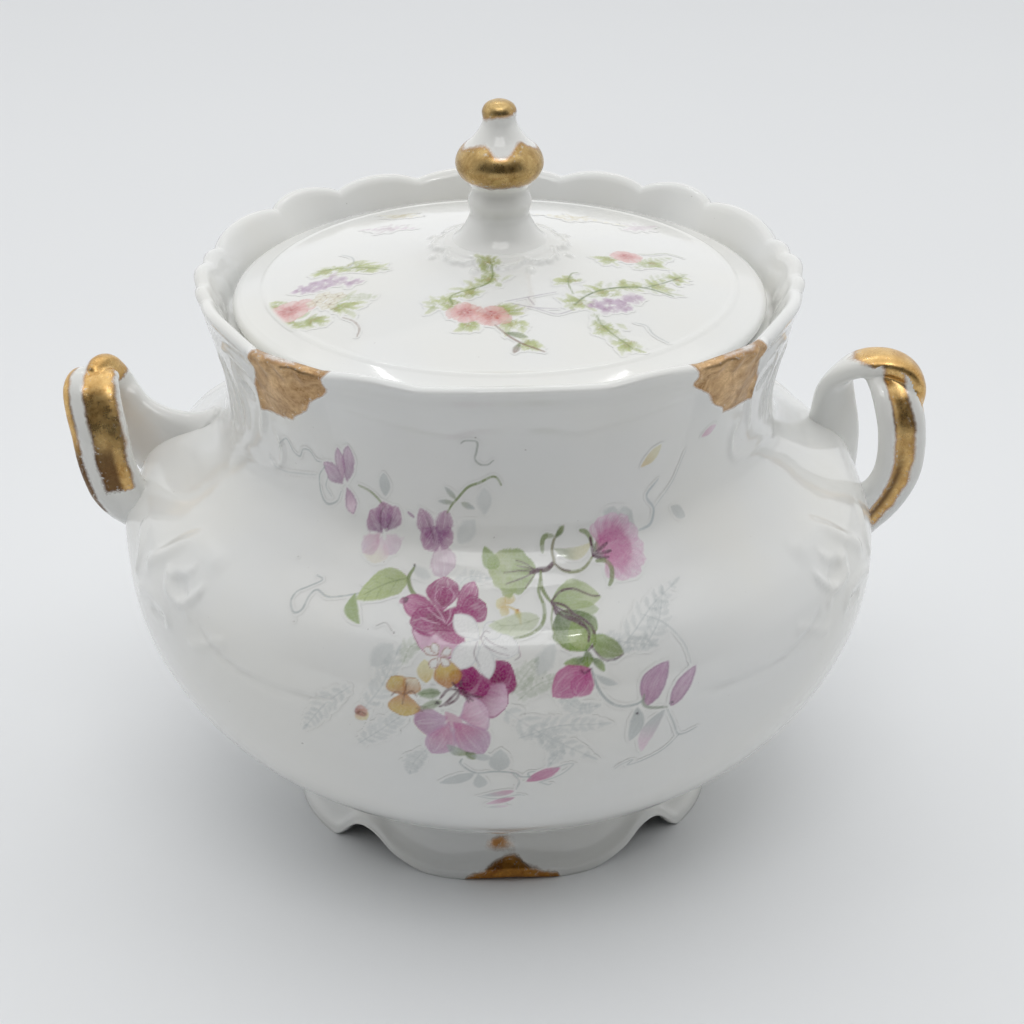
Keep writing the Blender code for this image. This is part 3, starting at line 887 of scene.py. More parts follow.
def front_sheet():
    """The main spray: roses and a lily, pansies, a climbing stem with leaves and a pink fan flower, buds."""
    s = Sheet(-64, 52, -26, 54, 3)
    # faint grey ferns and shadow leaves behind everything
    for path, reach in (
        ([(14, 9), (18, 12), (24, 17), (30, 20)], 2.6), ([(20, 10), (24, 14), (27, 19)], 2.2),
        ([(11, 13), (15, 12.5), (22, 10.5)], 1.9), ([(-4, 4), (2, -1), (11, -8)], 2.6),
        ([(0, -3), (6, -1), (13, -1.5)], 2.2), ([(3, -2), (6, -6), (5, -9)], 1.7),
        ([(-24, 0), (-21, 5), (-19, 11)], 2.3), ([(-25, -7), (-22, -4), (-17, 1)], 2.0),
        ([(-26, 4), (-30, 0), (-34, -6)], 2.0), ([(-14, -6), (-16, -9), (-17, -12)], 1.8),
        ([(-12, 21), (-9, 25), (-5, 25)], 1.6), ([(6, 5), (9, 2), (12, 2)], 1.5),
    ):
        s.fern(path, reach)
    for path, reach in (
        ([(0, 4), (3, 6.5), (6, 7.5)], 1.9), ([(-1, 5), (1, 8), (3, 10.5)], 1.7),
        ([(-18, 9), (-17, 12), (-14.5, 13.5)], 1.6),
    ):
        s.fern(path, reach, (0.36, 0.42, 0.30), 0.5, 7)
    for a, b, w in (
        ((-11.5, 31), (-8, 35), 3.6), ((-6, 36), (-6, 41), 3.2), ((3, 8), (6, 13), 3.0),
        ((-23, 8), (-20, 12), 3.4), ((-20, 26), (-16, 24.5), 2.0),
    ):
        s.petal(a, b, w, GREY, PALE_GREY, 0.42, 0, 0.5, 0.1, ragged=1.0, soft=0.5)
    # upper left: lilac flower, its stem and squiggling tendrils
    s.line([(-34.5, 38.5), (-32, 38), (-30, 37), (-28, 35.5)], 0.5, OLIVE, 0.75)
    s.petal((-28, 37.5), (-28, 42), 2.6, GREY, PALE_GREY, 0.6, 0, 0.5, 0.1)
    for a, b, w, n, f in (
        ((-37.5, 38.5), (-36, 46), 3.2, LILAC, PALE_LILAC),
        ((-38.5, 38.5), (-39, 45), 2.6, MAUVE, PALE_LILAC),
        ((-38.5, 38), (-43.5, 41), 3.6, LILAC, PALE_LILAC),
        ((-37.5, 37.5), (-35.5, 33), 3.0, MAUVE, PALE_PINK),
    ):
        s.petal(a, b, w, n, f, 0.8, 0, 0.55, 0.6, LILAC, 0.22, 0.8, 0.3)
    s.line([(-43, 40.5), (-45, 38), (-44.5, 35), (-42.5, 33.5), (-40, 34.5), (-39, 36.5)], 0.35, GREY, 0.7)
    s.line([(-42.5, 38.5), (-43.2, 36.5), (-41.5, 35)], 0.3, GREY, 0.6)
    s.line([(-58, 40), (-56, 42), (-54, 43), (-52.5, 41), (-50.5, 40.5), (-49, 42.3), (-47, 42.5),
            (-45.5, 41), (-44, 41)], 0.32, GREY, 0.75)
    s.line([(-62, 37), (-57, 36), (-51, 37), (-46, 38)], 0.25, PALE_GREY, 0.5)
    s.line([(-38, 21), (-36.5, 20.5), (-38.5, 18.5), (-40, 17), (-40, 15), (-38.5, 13.5), (-37.3, 14.5),
            (-37.3, 17), (-36.5, 18.5), (-34, 17.8), (-31.5, 18.5), (-28, 20)], 0.34, GREY, 0.8)
    # two lilac pansies with pale lower petals
    for a, b, w, n, f in (
        ((-27, 31), (-24, 28), 4.4, PALE_PINK, PALE_LILAC),
        ((-28, 30.5), (-28, 25.5), 5.6, PALE_PINK, CREAM), ((-28.5, 31), (-31, 27), 4.2, PINK, PALE_LILAC),
    ):
        s.petal(a, b, w, n, f, 0.55, 0, 0.62, 0.5, ragged=1.0, soft=0.4)
    for a, b, w in (
        ((-28, 31), (-31.5, 34.5), 4.6), ((-27.5, 31.5), (-28.5, 36.5), 4.4), ((-27, 31.5), (-25, 36), 3.8),
    ):
        s.petal(a, b, w, LILAC, MAUVE, 0.85, 0, 0.6, 0.6, ragged=0.9, soft=0.3)
    s.line([(-28.5, 31.5), (-29, 34), (-28.3, 35.5)], 0.4, PLUM, 0.45)
    s.line([(-27.3, 31.5), (-26.3, 34)], 0.35, PLUM, 0.4)
    s.line([(-22.7, 35.3), (-21.3, 34.6)], 0.5, LILAC, 0.7)
    s.petal((-15.5, 31), (-13.6, 24.7), 5.4, PALE_PINK, PALE_LILAC, 0.6, 0.4, 0.6, 0.6, MAUVE, 0.2, 0.8,
            0.35)
    for a, b, w in (
        ((-17, 30.5), (-20, 36.3), 3.4), ((-15.5, 30.5), (-14, 36.5), 3.8),
        ((-16, 33.5), (-18.5, 29.5), 5.0), ((-16, 32.5), (-12.6, 31), 4.2),
    ):
        s.petal(a, b, w, LILAC, MAUVE, 0.85, 0, 0.6, 0.6, ragged=0.9, soft=0.3)
    s.line([(-16.5, 31), (-17.5, 33), (-18.6, 35)], 0.35, PLUM, 0.35)
    s.line([(-14, 36), (-13, 37.5), (-12, 38.5), (-9.5, 41), (-7, 42), (-4.5, 43.2), (-3.3, 43),
            (-2.4, 41.6)], 0.5, OLIVE, 0.9)
    for a, b, w in (
        ((-12, 38.6), (-14.5, 40.8), 1.1), ((-12.6, 37.9), (-16, 38), 0.9), ((-11, 38), (-8, 37), 1.1),
    ):
        s.petal(a, b, w, (0.28, 0.32, 0.22), GREY, 0.75, 0, 0.45, 0.1)
    s.line([(-10.5, 50), (-9.6, 50.6), (-7.3, 50.5), (-7.4, 48.5), (-7.8, 46.8), (-6.8, 45.7), (-5.2, 45.7),
            (-4, 46.6)], 0.4, (0.28, 0.31, 0.27), 0.75)
    # the olive leaf on the left and its curled stem
    s.petal((-29.2, 19.6), (-26.4, 14.4), 2.4, LEAF, LEAF, 0.85, -1.0, 0.5, 0.1)
    s.leaf((-20.3, 24), (-28.6, 18.6), 5.6, (0.32, 0.40, 0.12), 0.9, -0.8)
    s.line([(-19.6, 26), (-20.2, 24), (-19, 21.8), (-17, 20.4)], 0.75, OLIVE, 0.9)
    s.dots((-19.8, 26.2), 0.15, 2, 0.55, DARK)
    s.dots((-20.3, 13.8), 0.1, 2, 0.3, DARK)
    s.line([(-23.5, 14.6), (-22, 15.4), (-20.6, 14.2)], 0.2, DARK, 0.5)
    # magenta rose
    s.petal((-13, 18.5), (-20.2, 20.2), 4.4, MAGENTA, PINK, 0.96, 0.4, 0.62, 0.35, MAGENTA, 0.22)
    s.petal((-19.2, 20.4), (-20.7, 19.4), 1.4, PLUM, PINK, 0.9)
    s.petal((-10.5, 18.8), (-7.5, 24.4), 3.6, MAGENTA, PINK, 0.96, -0.3, 0.6, 0.75, MAGENTA, 0.22)
    s.petal((-10, 17.5), (-5.2, 20.4), 5.6, MAGENTA, CRIMSON, 0.97, 0.2, 0.62, 0.4, MAGENTA, 0.22)
    s.petal((-12.8, 18.5), (-13.2, 25), 6.2, MAGENTA, CRIMSON, 0.97, 0.2, 0.6, 0.45, MAGENTA, 0.25)
    s.petal((-12.6, 19), (-12.9, 23.3), 3.8, MAGENTA, MAGENTA, 0.85, 0.1, 0.6, 0.4, PALE_PINK, 0.14)
    s.petal((-10.5, 19.5), (-14.8, 11.3), 9.6, MAGENTA, PALE_PINK, 0.97, 0.8, 0.66, 0.3, CRIMSON, 0.25)
    s.petal((-11.5, 18.4), (-18, 16), 5.8, MAGENTA, CRIMSON, 0.95, 0.3, 0.6, 0.4, MAGENTA, 0.2)
    s.petal((-12, 19), (-9.3, 13), 4.8, MAGENTA, MAGENTA, 0.97, 0.2, 0.6, 0.1)
    s.petal((-13, 18), (-6.3, 18.6), 3.6, MAGENTA, MAGENTA, 0.9, -0.3, 0.5, 0.2, CRIMSON, 0.14)
    s.petal((-13.6, 18.6), (-9.8, 13.4), 4.4, WINE, MAGENTA, 0.9, 0, 0.5, 0.0, ragged=0.8, soft=0.5)
    s.petal((-15.6, 17.6), (-11, 17), 2.4, WINE, MAGENTA, 0.75, 0, 0.5, 0.1, ragged=0.8, soft=0.4)
    s.petal((-13, 19.4), (-12.4, 22), 2.6, WINE, MAGENTA, 0.7, 0, 0.5, 0.1, ragged=0.8, soft=0.4)
    for path in (
        [(-15.5, 19), (-13.5, 17.6), (-12, 16.8)], [(-13.8, 19), (-12.7, 17.8), (-12, 16.6)],
        [(-11.4, 19), (-11.3, 17.8), (-11.8, 16.4)], [(-9.4, 18.6), (-10.4, 17.4), (-11.4, 16.2)],
        [(-16.4, 17.2), (-14.6, 16.6), (-12.8, 16.3)],
    ):
        s.line(path, 0.18, (0.72, 0.50, 0.62), 0.7)
    # second magenta flower, under the lily
    s.petal((-6.5, 5), (-1.2, 10.2), 6.0, MAGENTA, CRIMSON, 0.97, -0.8, 0.62, 0.3, MAGENTA, 0.2)
    s.petal((-7, 5), (-1.5, 3.4), 7.0, CRIMSON, PALE_PINK, 0.95, 0.3, 0.64, 0.35, CRIMSON, 0.25)
    s.petal((-8, 4.8), (-8.2, 10), 4.8, MAGENTA, MAGENTA, 0.97, 0, 0.6, 0.15)
    s.petal((-9, 5.2), (-4.2, 6.6), 3.6, MAGENTA, MAGENTA, 0.85, 0, 0.5, 0.2)
    s.petal((-8.6, 5.6), (-7.4, 10), 3.6, WINE, MAGENTA, 0.85, 0, 0.5, 0, ragged=0.8, soft=0.5)
    s.petal((-4, 7), (-1.6, 9.8), 3.4, WINE, MAGENTA, 0.8, 0, 0.5, 0.1, ragged=0.8, soft=0.5)
    # white lily
    white = (0.80, 0.80, 0.785)
    for a, b, w in (
        ((-6.2, 14), (-10, 9), 4.0), ((-6, 14), (-10.6, 18.2), 3.8), ((-5.6, 13.6), (-4.4, 7.6), 3.0),
        ((-5.4, 14), (0.4, 12), 4.4), ((-5.6, 14.4), (-2.6, 16.6), 3.6),
    ):
        s.petal(a, b, w, white, (0.83, 0.83, 0.82), 0.98, 0, 0.55, 0.0, (0.62, 0.63, 0.64), 0.14, 0.0, 0.18)
    for path in (
        [(-6, 14), (-5.2, 15.4), (-4.4, 15.2)], [(-5.8, 14.5), (-5.2, 13), (-3, 11.8), (-1.4, 11.4)],
        [(-5.4, 14.6), (-4, 13.4), (-1.6, 12.4)], [(-6.4, 13.6), (-6.8, 11.5), (-5.8, 9.6)],
        [(0.3, 12.2), (0.4, 11.2), (-0.4, 10.6)],
    ):
        s.line(path, 0.18, (0.36, 0.30, 0.33), 0.75)
    # mauve pink flower at the bottom
    s.petal((-10.6, 0.8), (-15.8, -0.8), 6.0, PALE_LILAC, MAUVE, 0.85, 0.3, 0.62, 0.5, PALE_LILAC, 0.3)
    s.petal((-10.4, 0), (-13.2, -6.8), 4.8, PINK, PALE_LILAC, 0.85, 0.3, 0.6, 0.55, PALE_LILAC, 0.3)
    s.petal((-9.8, 0), (-5.2, -6.2), 5.6, ROSE, PALE_LILAC, 0.88, 0.4, 0.58, 0.5, PALE_LILAC, 0.25)
    s.petal((-9, 0.8), (-4.6, 2.6), 6.4, PINK, PALE_PINK, 0.88, -0.3, 0.64, 0.5, PALE_LILAC, 0.25)
    s.petal((-11, 1.8), (-8.4, -1.4), 2.2, ROSE, PINK, 0.6)
    # golden and white blossoms with dark stamens
    s.petal((-17.4, 4), (-19.6, 6.8), 3.6, ORANGE, YELLOW, 0.88, 0, 0.6, 0.4, ORANGE, 0.2)
    s.petal((-17.2, 4), (-15.6, 7), 3.2, ORANGE, CREAM, 0.85, 0, 0.6, 0.4, ORANGE, 0.2)
    s.petal((-17.4, 4.6), (-17.4, 0.2), 5.2, ORANGE, YELLOW, 0.92, 0, 0.62, 0.2, ORANGE, 0.2)
    for path in (
        [(-17.4, 4), (-18.6, 4.4), (-19.4, 3.6)], [(-17.4, 4), (-16.2, 4.8), (-15.4, 4)],
        [(-17.4, 3.8), (-17.6, 2.4)], [(-17.4, 4), (-17, 6.2)], [(-15.4, 2), (-14.4, 1.4)],
    ):
        s.line(path, 0.24, BROWN, 0.75)
    s.petal((-14.6, 10.2), (-14, 6.4), 2.6, PALE_YELLOW, YELLOW, 0.75, 0, 0.5, 0.3)
    s.petal((-11.2, 10.6), (-10.6, 5.8), 4.4, YELLOW, ORANGE, 0.9, 0, 0.55, 0.2, ORANGE, 0.2)
    for a, b in (
        ((-12.4, 11), (-15, 12)), ((-12.4, 11), (-13.6, 13)), ((-12.2, 11), (-10.4, 12.2)),
        ((-12.4, 10.8), (-13.6, 8.8)), ((-12.2, 10.8), (-10.6, 9.4)),
    ):
        s.petal(a, b, 1.7, white, white, 0.97, 0, 0.6, 0, (0.42, 0.22, 0.18), 0.16, 0.3, 0.14)
    s.leaf((-11.8, 5), (-15.4, 4.4), 1.8, (0.20, 0.27, 0.12), 0.8, 0, DEEP_LEAF, 2)
    s.leaf((-11.6, 3.6), (-15, 1.8), 1.4, (0.22, 0.28, 0.14), 0.75, 0, DEEP_LEAF, 2)
    for path in (
        [(-9, 5.6), (-10.6, 5.6), (-11.8, 4)], [(-8.8, 5.4), (-9.4, 4), (-11, 2.8)],
        [(-8.6, 5.8), (-7, 4.8), (-5.4, 4.6)], [(-8.8, 6.2), (-8.6, 7.2)],
        [(-9, 5.6), (-11, 3.2), (-11.9, 2.6)], [(-8.4, 5.4), (-7.4, 3.6)], [(-9.4, 6), (-10, 6.8)],
        [(-8.6, 5.4), (-6.8, 3.9)],
    ):
        s.line(path, 0.42, (0.10, 0.02, 0.05), 0.88)
    s.dots((-12.4, 3), 0.5, 4, 0.5, (0.05, 0.035, 0.04))
    s.petal((-24.9, 0.2), (-23.3, -1.6), 2.6, (0.62, 0.36, 0.18), PALE_YELLOW, 0.8)
    s.petal((-25.3, -0.6), (-23.1, 0.4), 2.2, (0.30, 0.06, 0.06), (0.60, 0.30, 0.24), 0.8)
    s.line([(-25.0, -0.8), (-24.2, -0.2), (-23.4, -0.6)], 0.3, BROWN, 0.8)
    # yellow-green sprig and the pale leaf in the middle
    for a, b, w in (
        ((-1.6, 20), (-3.4, 21), 2.4), ((-1.4, 20.2), (-0.6, 22.4), 2.0), ((-1.4, 20), (-2.4, 18.2), 1.8),
        ((0, 19.4), (0.8, 17.6), 1.2),
    ):
        s.petal(a, b, w, YELLOW, PALE_YELLOW, 0.7, 0, 0.55, 0.3)
    s.line([(-1.4, 20), (0, 19.2), (0.6, 18), (0.8, 16.6)], 0.4, YELLOW, 0.7)
    s.dots((0.2, 19), 0.4, 3, 0.4, ORANGE)
    s.leaf((4, 17.6), (-4.6, 16.4), 4.0, (0.38, 0.45, 0.22), 0.6, 0.5, OLIVE, 3)
    s.line([(5, 25), (4.4, 22.5), (5, 20), (4.8, 17.4), (3.6, 15.6), (1.6, 14.6), (-0.4, 14.2)], 0.6, OLIVE,
           0.85)
    # climbing stem: leaf with plum veins, node, curls, calyx and fan flower
    s.petal((4.4, 26.2), (-5.4, 28), 8.4, LEAF, (0.38, 0.45, 0.17), 0.9, 1.0, 0.46, 0.15, ragged=0.7)
    s.petal((-3, 27), (-6, 30.6), 3.0, LEAF, LEAF, 0.85, 0.6, 0.4, 0.1)
    for path in (
        [(4.4, 26.1), (1.6, 25), (-1.6, 24)], [(4.4, 26.1), (1.4, 26.3), (-2, 26)],
        [(4.4, 26.2), (2.2, 27.6), (0.4, 28.2)], [(4.2, 25.8), (2.6, 23.9), (2, 23.2)],
        [(4.4, 26.2), (2.6, 26.8), (0.6, 27.2)],
    ):
        s.line(path, 0.24, PLUM, 0.75)
    s.line([(2.8, 25.6), (4.6, 26.2), (6.2, 26.2), (8, 27.4), (8, 29.6), (8.8, 31.6), (10.6, 33.2)], 0.6,
           (0.25, 0.24, 0.14), 0.9)
    s.line([(3.2, 25.9), (5, 26.3), (6.6, 26.4), (7.8, 27.4)], 0.95, PLUM, 0.85)
    s.line([(6, 29.4), (6.1, 31), (6.8, 32), (8.4, 32)], 0.95, OLIVE, 0.8)
    s.petal((9, 31.6), (11, 33.6), 1.2, DEEP_LEAF, OLIVE, 0.85)
    s.petal((8.4, 29.8), (16.6, 30.2), 2.2, OLIVE, PALE_YELLOW, 0.6, -1.4, 0.5, 0.3)
    s.line([(14.4, 32.4), (15.6, 32), (16.4, 31), (16.6, 29.4)], 0.95, OLIVE, 0.75)
    s.line([(8, 27.4), (9.6, 25.9), (11.8, 25.4), (14, 26), (16.2, 27.8)], 0.55, (0.26, 0.28, 0.13), 0.9)
    s.line([(8, 27.4), (9.4, 26.1), (11, 25.7)], 0.4, PLUM, 0.6)
    s.petal((16.4, 28.4), (20.2, 30), 1.8, DEEP_LEAF, LEAF, 0.85, 0.4)
    # fan flower: grey back, then petals spreading from the calyx
    for a, b, w in (
        ((21, 32), (22.4, 35.6), 4.0), ((23, 32), (26.6, 34.2), 4.0), ((20.5, 31), (20.4, 34), 3.0),
    ):
        s.petal(a, b, w, PALE_GREY, GREY, 0.55, 0, 0.6, 0.3, ragged=1.2, soft=0.5)
    for degrees, length in (
        (88, 5.4), (72, 6.4), (54, 7.6), (36, 8.8), (18, 9.4), (0, 9.2), (-18, 8.8), (-36, 8.0), (-54, 6.6),
        (-70, 5.2),
    ):
        c, q = math.cos(math.radians(degrees)), math.sin(math.radians(degrees))
        s.petal((18.4, 28.2), (18.4 + c * length, 28.2 + q * length), 4.0, ROSE, PALE_PINK, 0.86, 0, 0.74,
                0.85, ragged=0.9, soft=0.3)
    s.petal((17.2, 28.4), (25, 29), 8.4, (0.56, 0.12, 0.33), PINK, 0.75, 0, 0.5, 0.35, ragged=1.0, soft=1.4)
    for path in (
        [(16.2, 27.8), (18, 28.8), (19.8, 29.6)], [(16.2, 27.8), (18.2, 28), (20.2, 28.2)],
        [(16.2, 27.8), (16.4, 29.4), (16.4, 31)], [(16.2, 27.8), (17.8, 27.2), (19.4, 27.2)],
    ):
        s.line(path, 0.62, PLUM, 0.9)
    s.line([(16.6, 26.8), (18.4, 26.6), (19.2, 25.2), (18.6, 23.2), (17.8, 22.2)], 0.9, OLIVE, 0.8)
    # second cluster of leaves lower on the stem, and the drooping bud
    s.line([(5.2, 26), (5, 23.6), (5.6, 21.8), (6.4, 20.4)], 0.7, OLIVE, 0.9)
    s.petal((6.4, 20.4), (15.6, 20.4), 5.6, LEAF, (0.42, 0.50, 0.24), 0.85, 0.9, 0.5, 0.2)
    s.line([(6.4, 20.4), (8.4, 22.2), (11, 22.4), (14, 20.8), (15.4, 20.6)], 0.45, PLUM, 0.85)
    s.petal((8, 18.6), (14.6, 18.2), 3.0, (0.42, 0.48, 0.26), LEAF, 0.6, 0.2, 0.6, 0.2)
    s.petal((7.4, 18.6), (11.2, 11.4), 8.2, DEEP_LEAF, LEAF, 0.95, 0.5, 0.52, 0.25, ragged=0.5)
    s.petal((9.6, 17), (10.4, 11.6), 3.4, LEAF, (0.40, 0.48, 0.20), 0.75, 0, 0.6, 0.2)
    for path in (
        [(6.4, 20.4), (8, 18.8), (10.6, 17.4), (12.6, 15.2), (12.6, 12.6), (11.4, 11.4)],
        [(6.4, 20.2), (7.8, 18), (9.8, 16.6), (11.8, 15)], [(6.4, 20.4), (8.6, 19.6), (10, 18)],
        [(8.6, 17.8), (10.6, 16.6), (11.9, 14.6), (11.6, 12.8)], [(6.6, 20), (7, 18)],
    ):
        s.line(path, 0.5, PLUM, 0.85)
    s.line([(6.6, 19.6), (6, 16.6), (6.6, 13.6), (8.4, 11.6)], 0.35, OLIVE, 0.7)
    s.petal((12.2, 13.8), (17, 10), 3.6, LEAF, OLIVE, 0.85, -0.4, 0.5, 0.3)
    s.line([(11.8, 12), (13.6, 9.6), (15.6, 9.4), (17, 10)], 0.35, PLUM, 0.7)
    for a, b, w in (
        ((11, 10.4), (7.2, 9.6), 1.5), ((11, 10.4), (9.6, 8.2), 1.5), ((11.4, 10.2), (13.6, 7.6), 1.3),
        ((11, 11.6), (10.8, 8.6), 1.6),
    ):
        s.petal(a, b, w, DEEP_LEAF, LEAF, 0.85, 0.3)
    s.petal((11.4, 8.4), (5.2, 4.4), 5.2, ROSE, PINK, 0.92, -0.3, 0.5, 0.4, ROSE, 0.2)
    s.petal((11.4, 8.2), (8.8, 4), 3.8, ROSE, PINK, 0.9, 0, 0.6, 0.4, ROSE, 0.2)
    s.line([(11.6, 8.4), (10.4, 7.8), (9.8, 8.4)], 0.4, PLUM, 0.6)
    s.line([(11.6, 8), (12.4, 4.8), (14, 2.4), (16, 1.2), (18.4, 1.2), (20, 2)], 0.42, GREY, 0.85)
    s.petal((12, 7.4), (15.4, 5.2), 1.2, GREY, PALE_GREY, 0.6, -0.3)
    # mauve bells on the right, and grey-mauve leaves under them
    s.petal((20, 0.6), (24.2, 7.4), 4.2, MAUVE, PALE_LILAC, 0.85, 0.9, 0.44, 0.4, LILAC, 0.2)
    s.petal((24, -0.6), (28.8, 5.4), 2.8, MAUVE, PALE_LILAC, 0.8, 0.3, 0.44, 0.5, LILAC, 0.2)
    s.petal((18.4, 0.6), (17.4, -6), 2.4, GREY, PALE_GREY, 0.7, 0.5, 0.5, 0.3)
    s.petal((23, -1), (19.6, -9), 2.6, GREY, PALE_PINK, 0.65, -1.0, 0.5, 0.4)
    s.line([(19.6, 2.6), (19.4, 1), (20.6, 0), (23.4, -0.6)], 0.5, (0.25, 0.29, 0.22), 0.8)
    s.dots((18.2, -0.8), 0.3, 3, 0.5, (0.10, 0.08, 0.10))
    s.dots((24, -0.2), 0.6, 4, 0.4, (0.13, 0.10, 0.14))
    s.line([(23.4, -1), (24.6, -4), (25.6, -6.8), (27, -7.2), (29, -6.6)], 0.28, GREY, 0.7)
    s.line([(26, -7), (23.4, -9.8), (20, -11.4), (17.6, -11.8), (18.4, -10.6), (16.4, -11.4),
            (15.6, -12.2)], 0.25, GREY, 0.65)
    s.line([(21.6, 16), (25, 13.6), (27.4, 9.6), (28, 6)], 0.22, PALE_GREY, 0.6)
    # bottom sprig
    s.petal((-7.2, -6.4), (-10.8, -4.6), 1.8, OLIVE, GREY, 0.8, 0.6)
    s.petal((-8, -6), (-6.6, -7.6), 1.6, DEEP_LEAF, OLIVE, 0.85, 0.2)
    s.petal((-7.2, -6.8), (-4, -7.2), 1.6, GREY, PALE_GREY, 0.6)
    s.line([(-8.6, -7.6), (-8.8, -8.8), (-6.6, -10.8), (-3.6, -10.4), (-0.6, -10.8), (0.4, -11.8),
            (2, -12)], 0.36, GREY, 0.85)
    s.petal((-3, -10.2), (-2.6, -5.2), 3.2, GREY, PALE_GREY, 0.6, 0, 0.4, 0.2)
    s.petal((-6.8, -11), (-12.4, -14.2), 2.2, GREY, PALE_GREY, 0.6, 0.2, 0.45, 0.2)
    s.petal((-6.2, -11), (-6.2, -15), 2.2, GREY, PALE_GREY, 0.6, 0.3, 0.6, 0.2)
    s.line([(-0.8, -11), (0.2, -13), (-0.2, -15.4)], 0.3, GREY, 0.7)
    s.petal((1.4, -13.2), (6.6, -10), 2.5, ROSE, PINK, 0.88, 0, 0.5, 0.4)
    s.line([(3.4, -13.6), (6.6, -12), (8.6, -9.6), (7.4, -9.4), (5.4, -10.2)], 0.26, GREY, 0.65)
    s.line([(2, -12.4), (1.6, -11), (2.6, -10.6)], 0.3, GREY, 0.7)
    s.line([(3.6, -13.6), (4.8, -14.4), (5.4, -14.2)], 0.3, GREY, 0.6)
    s.petal((-0.6, -15.8), (-5.8, -17.4), 1.5, PINK, PALE_GREY, 0.7, 0.2, 0.4, 0.4)
    s.petal((-5.2, -20.4), (-0.4, -18), 1.5, PALE_PINK, ROSE, 0.75, 0, 0.55, 0.4)
    s.petal((-5, -21.6), (-1.4, -21), 1.0, PALE_GREY, PALE_PINK, 0.5)
    s.line([(-6.4, -17.6), (-3.6, -18.4), (-0.2, -17.2), (1.2, -17.4)], 0.25, GREY, 0.6)
    # upper right: a yellow petal, grey tendril and a leaf
    s.petal((28.6, 42), (33.2, 45.6), 2.4, YELLOW, PALE_YELLOW, 0.6, -0.3)
    s.line([(33.4, 38.6), (30.4, 36.2), (32, 33.6), (30.6, 31.2), (27.6, 30.6)], 0.5, (0.33, 0.39, 0.42),
           0.6)
    s.line([(40.6, 42.6), (37.6, 37.6), (32.4, 33.8)], 0.25, PALE_GREY, 0.55)
    s.petal((36.4, 33), (39.6, 30.6), 2.4, GREY, PALE_GREY, 0.5)
    s.petal((44.6, 44.4), (48.4, 45.8), 1.9, PINK, PALE_PINK, 0.6)
    for place in ((-44, 23), (-38, 12), (-26, 26), (-4, 32)):
        s.dots(place, 0.05, 1, 0.3, (0.25, 0.22, 0.20), 0.7)
    return s


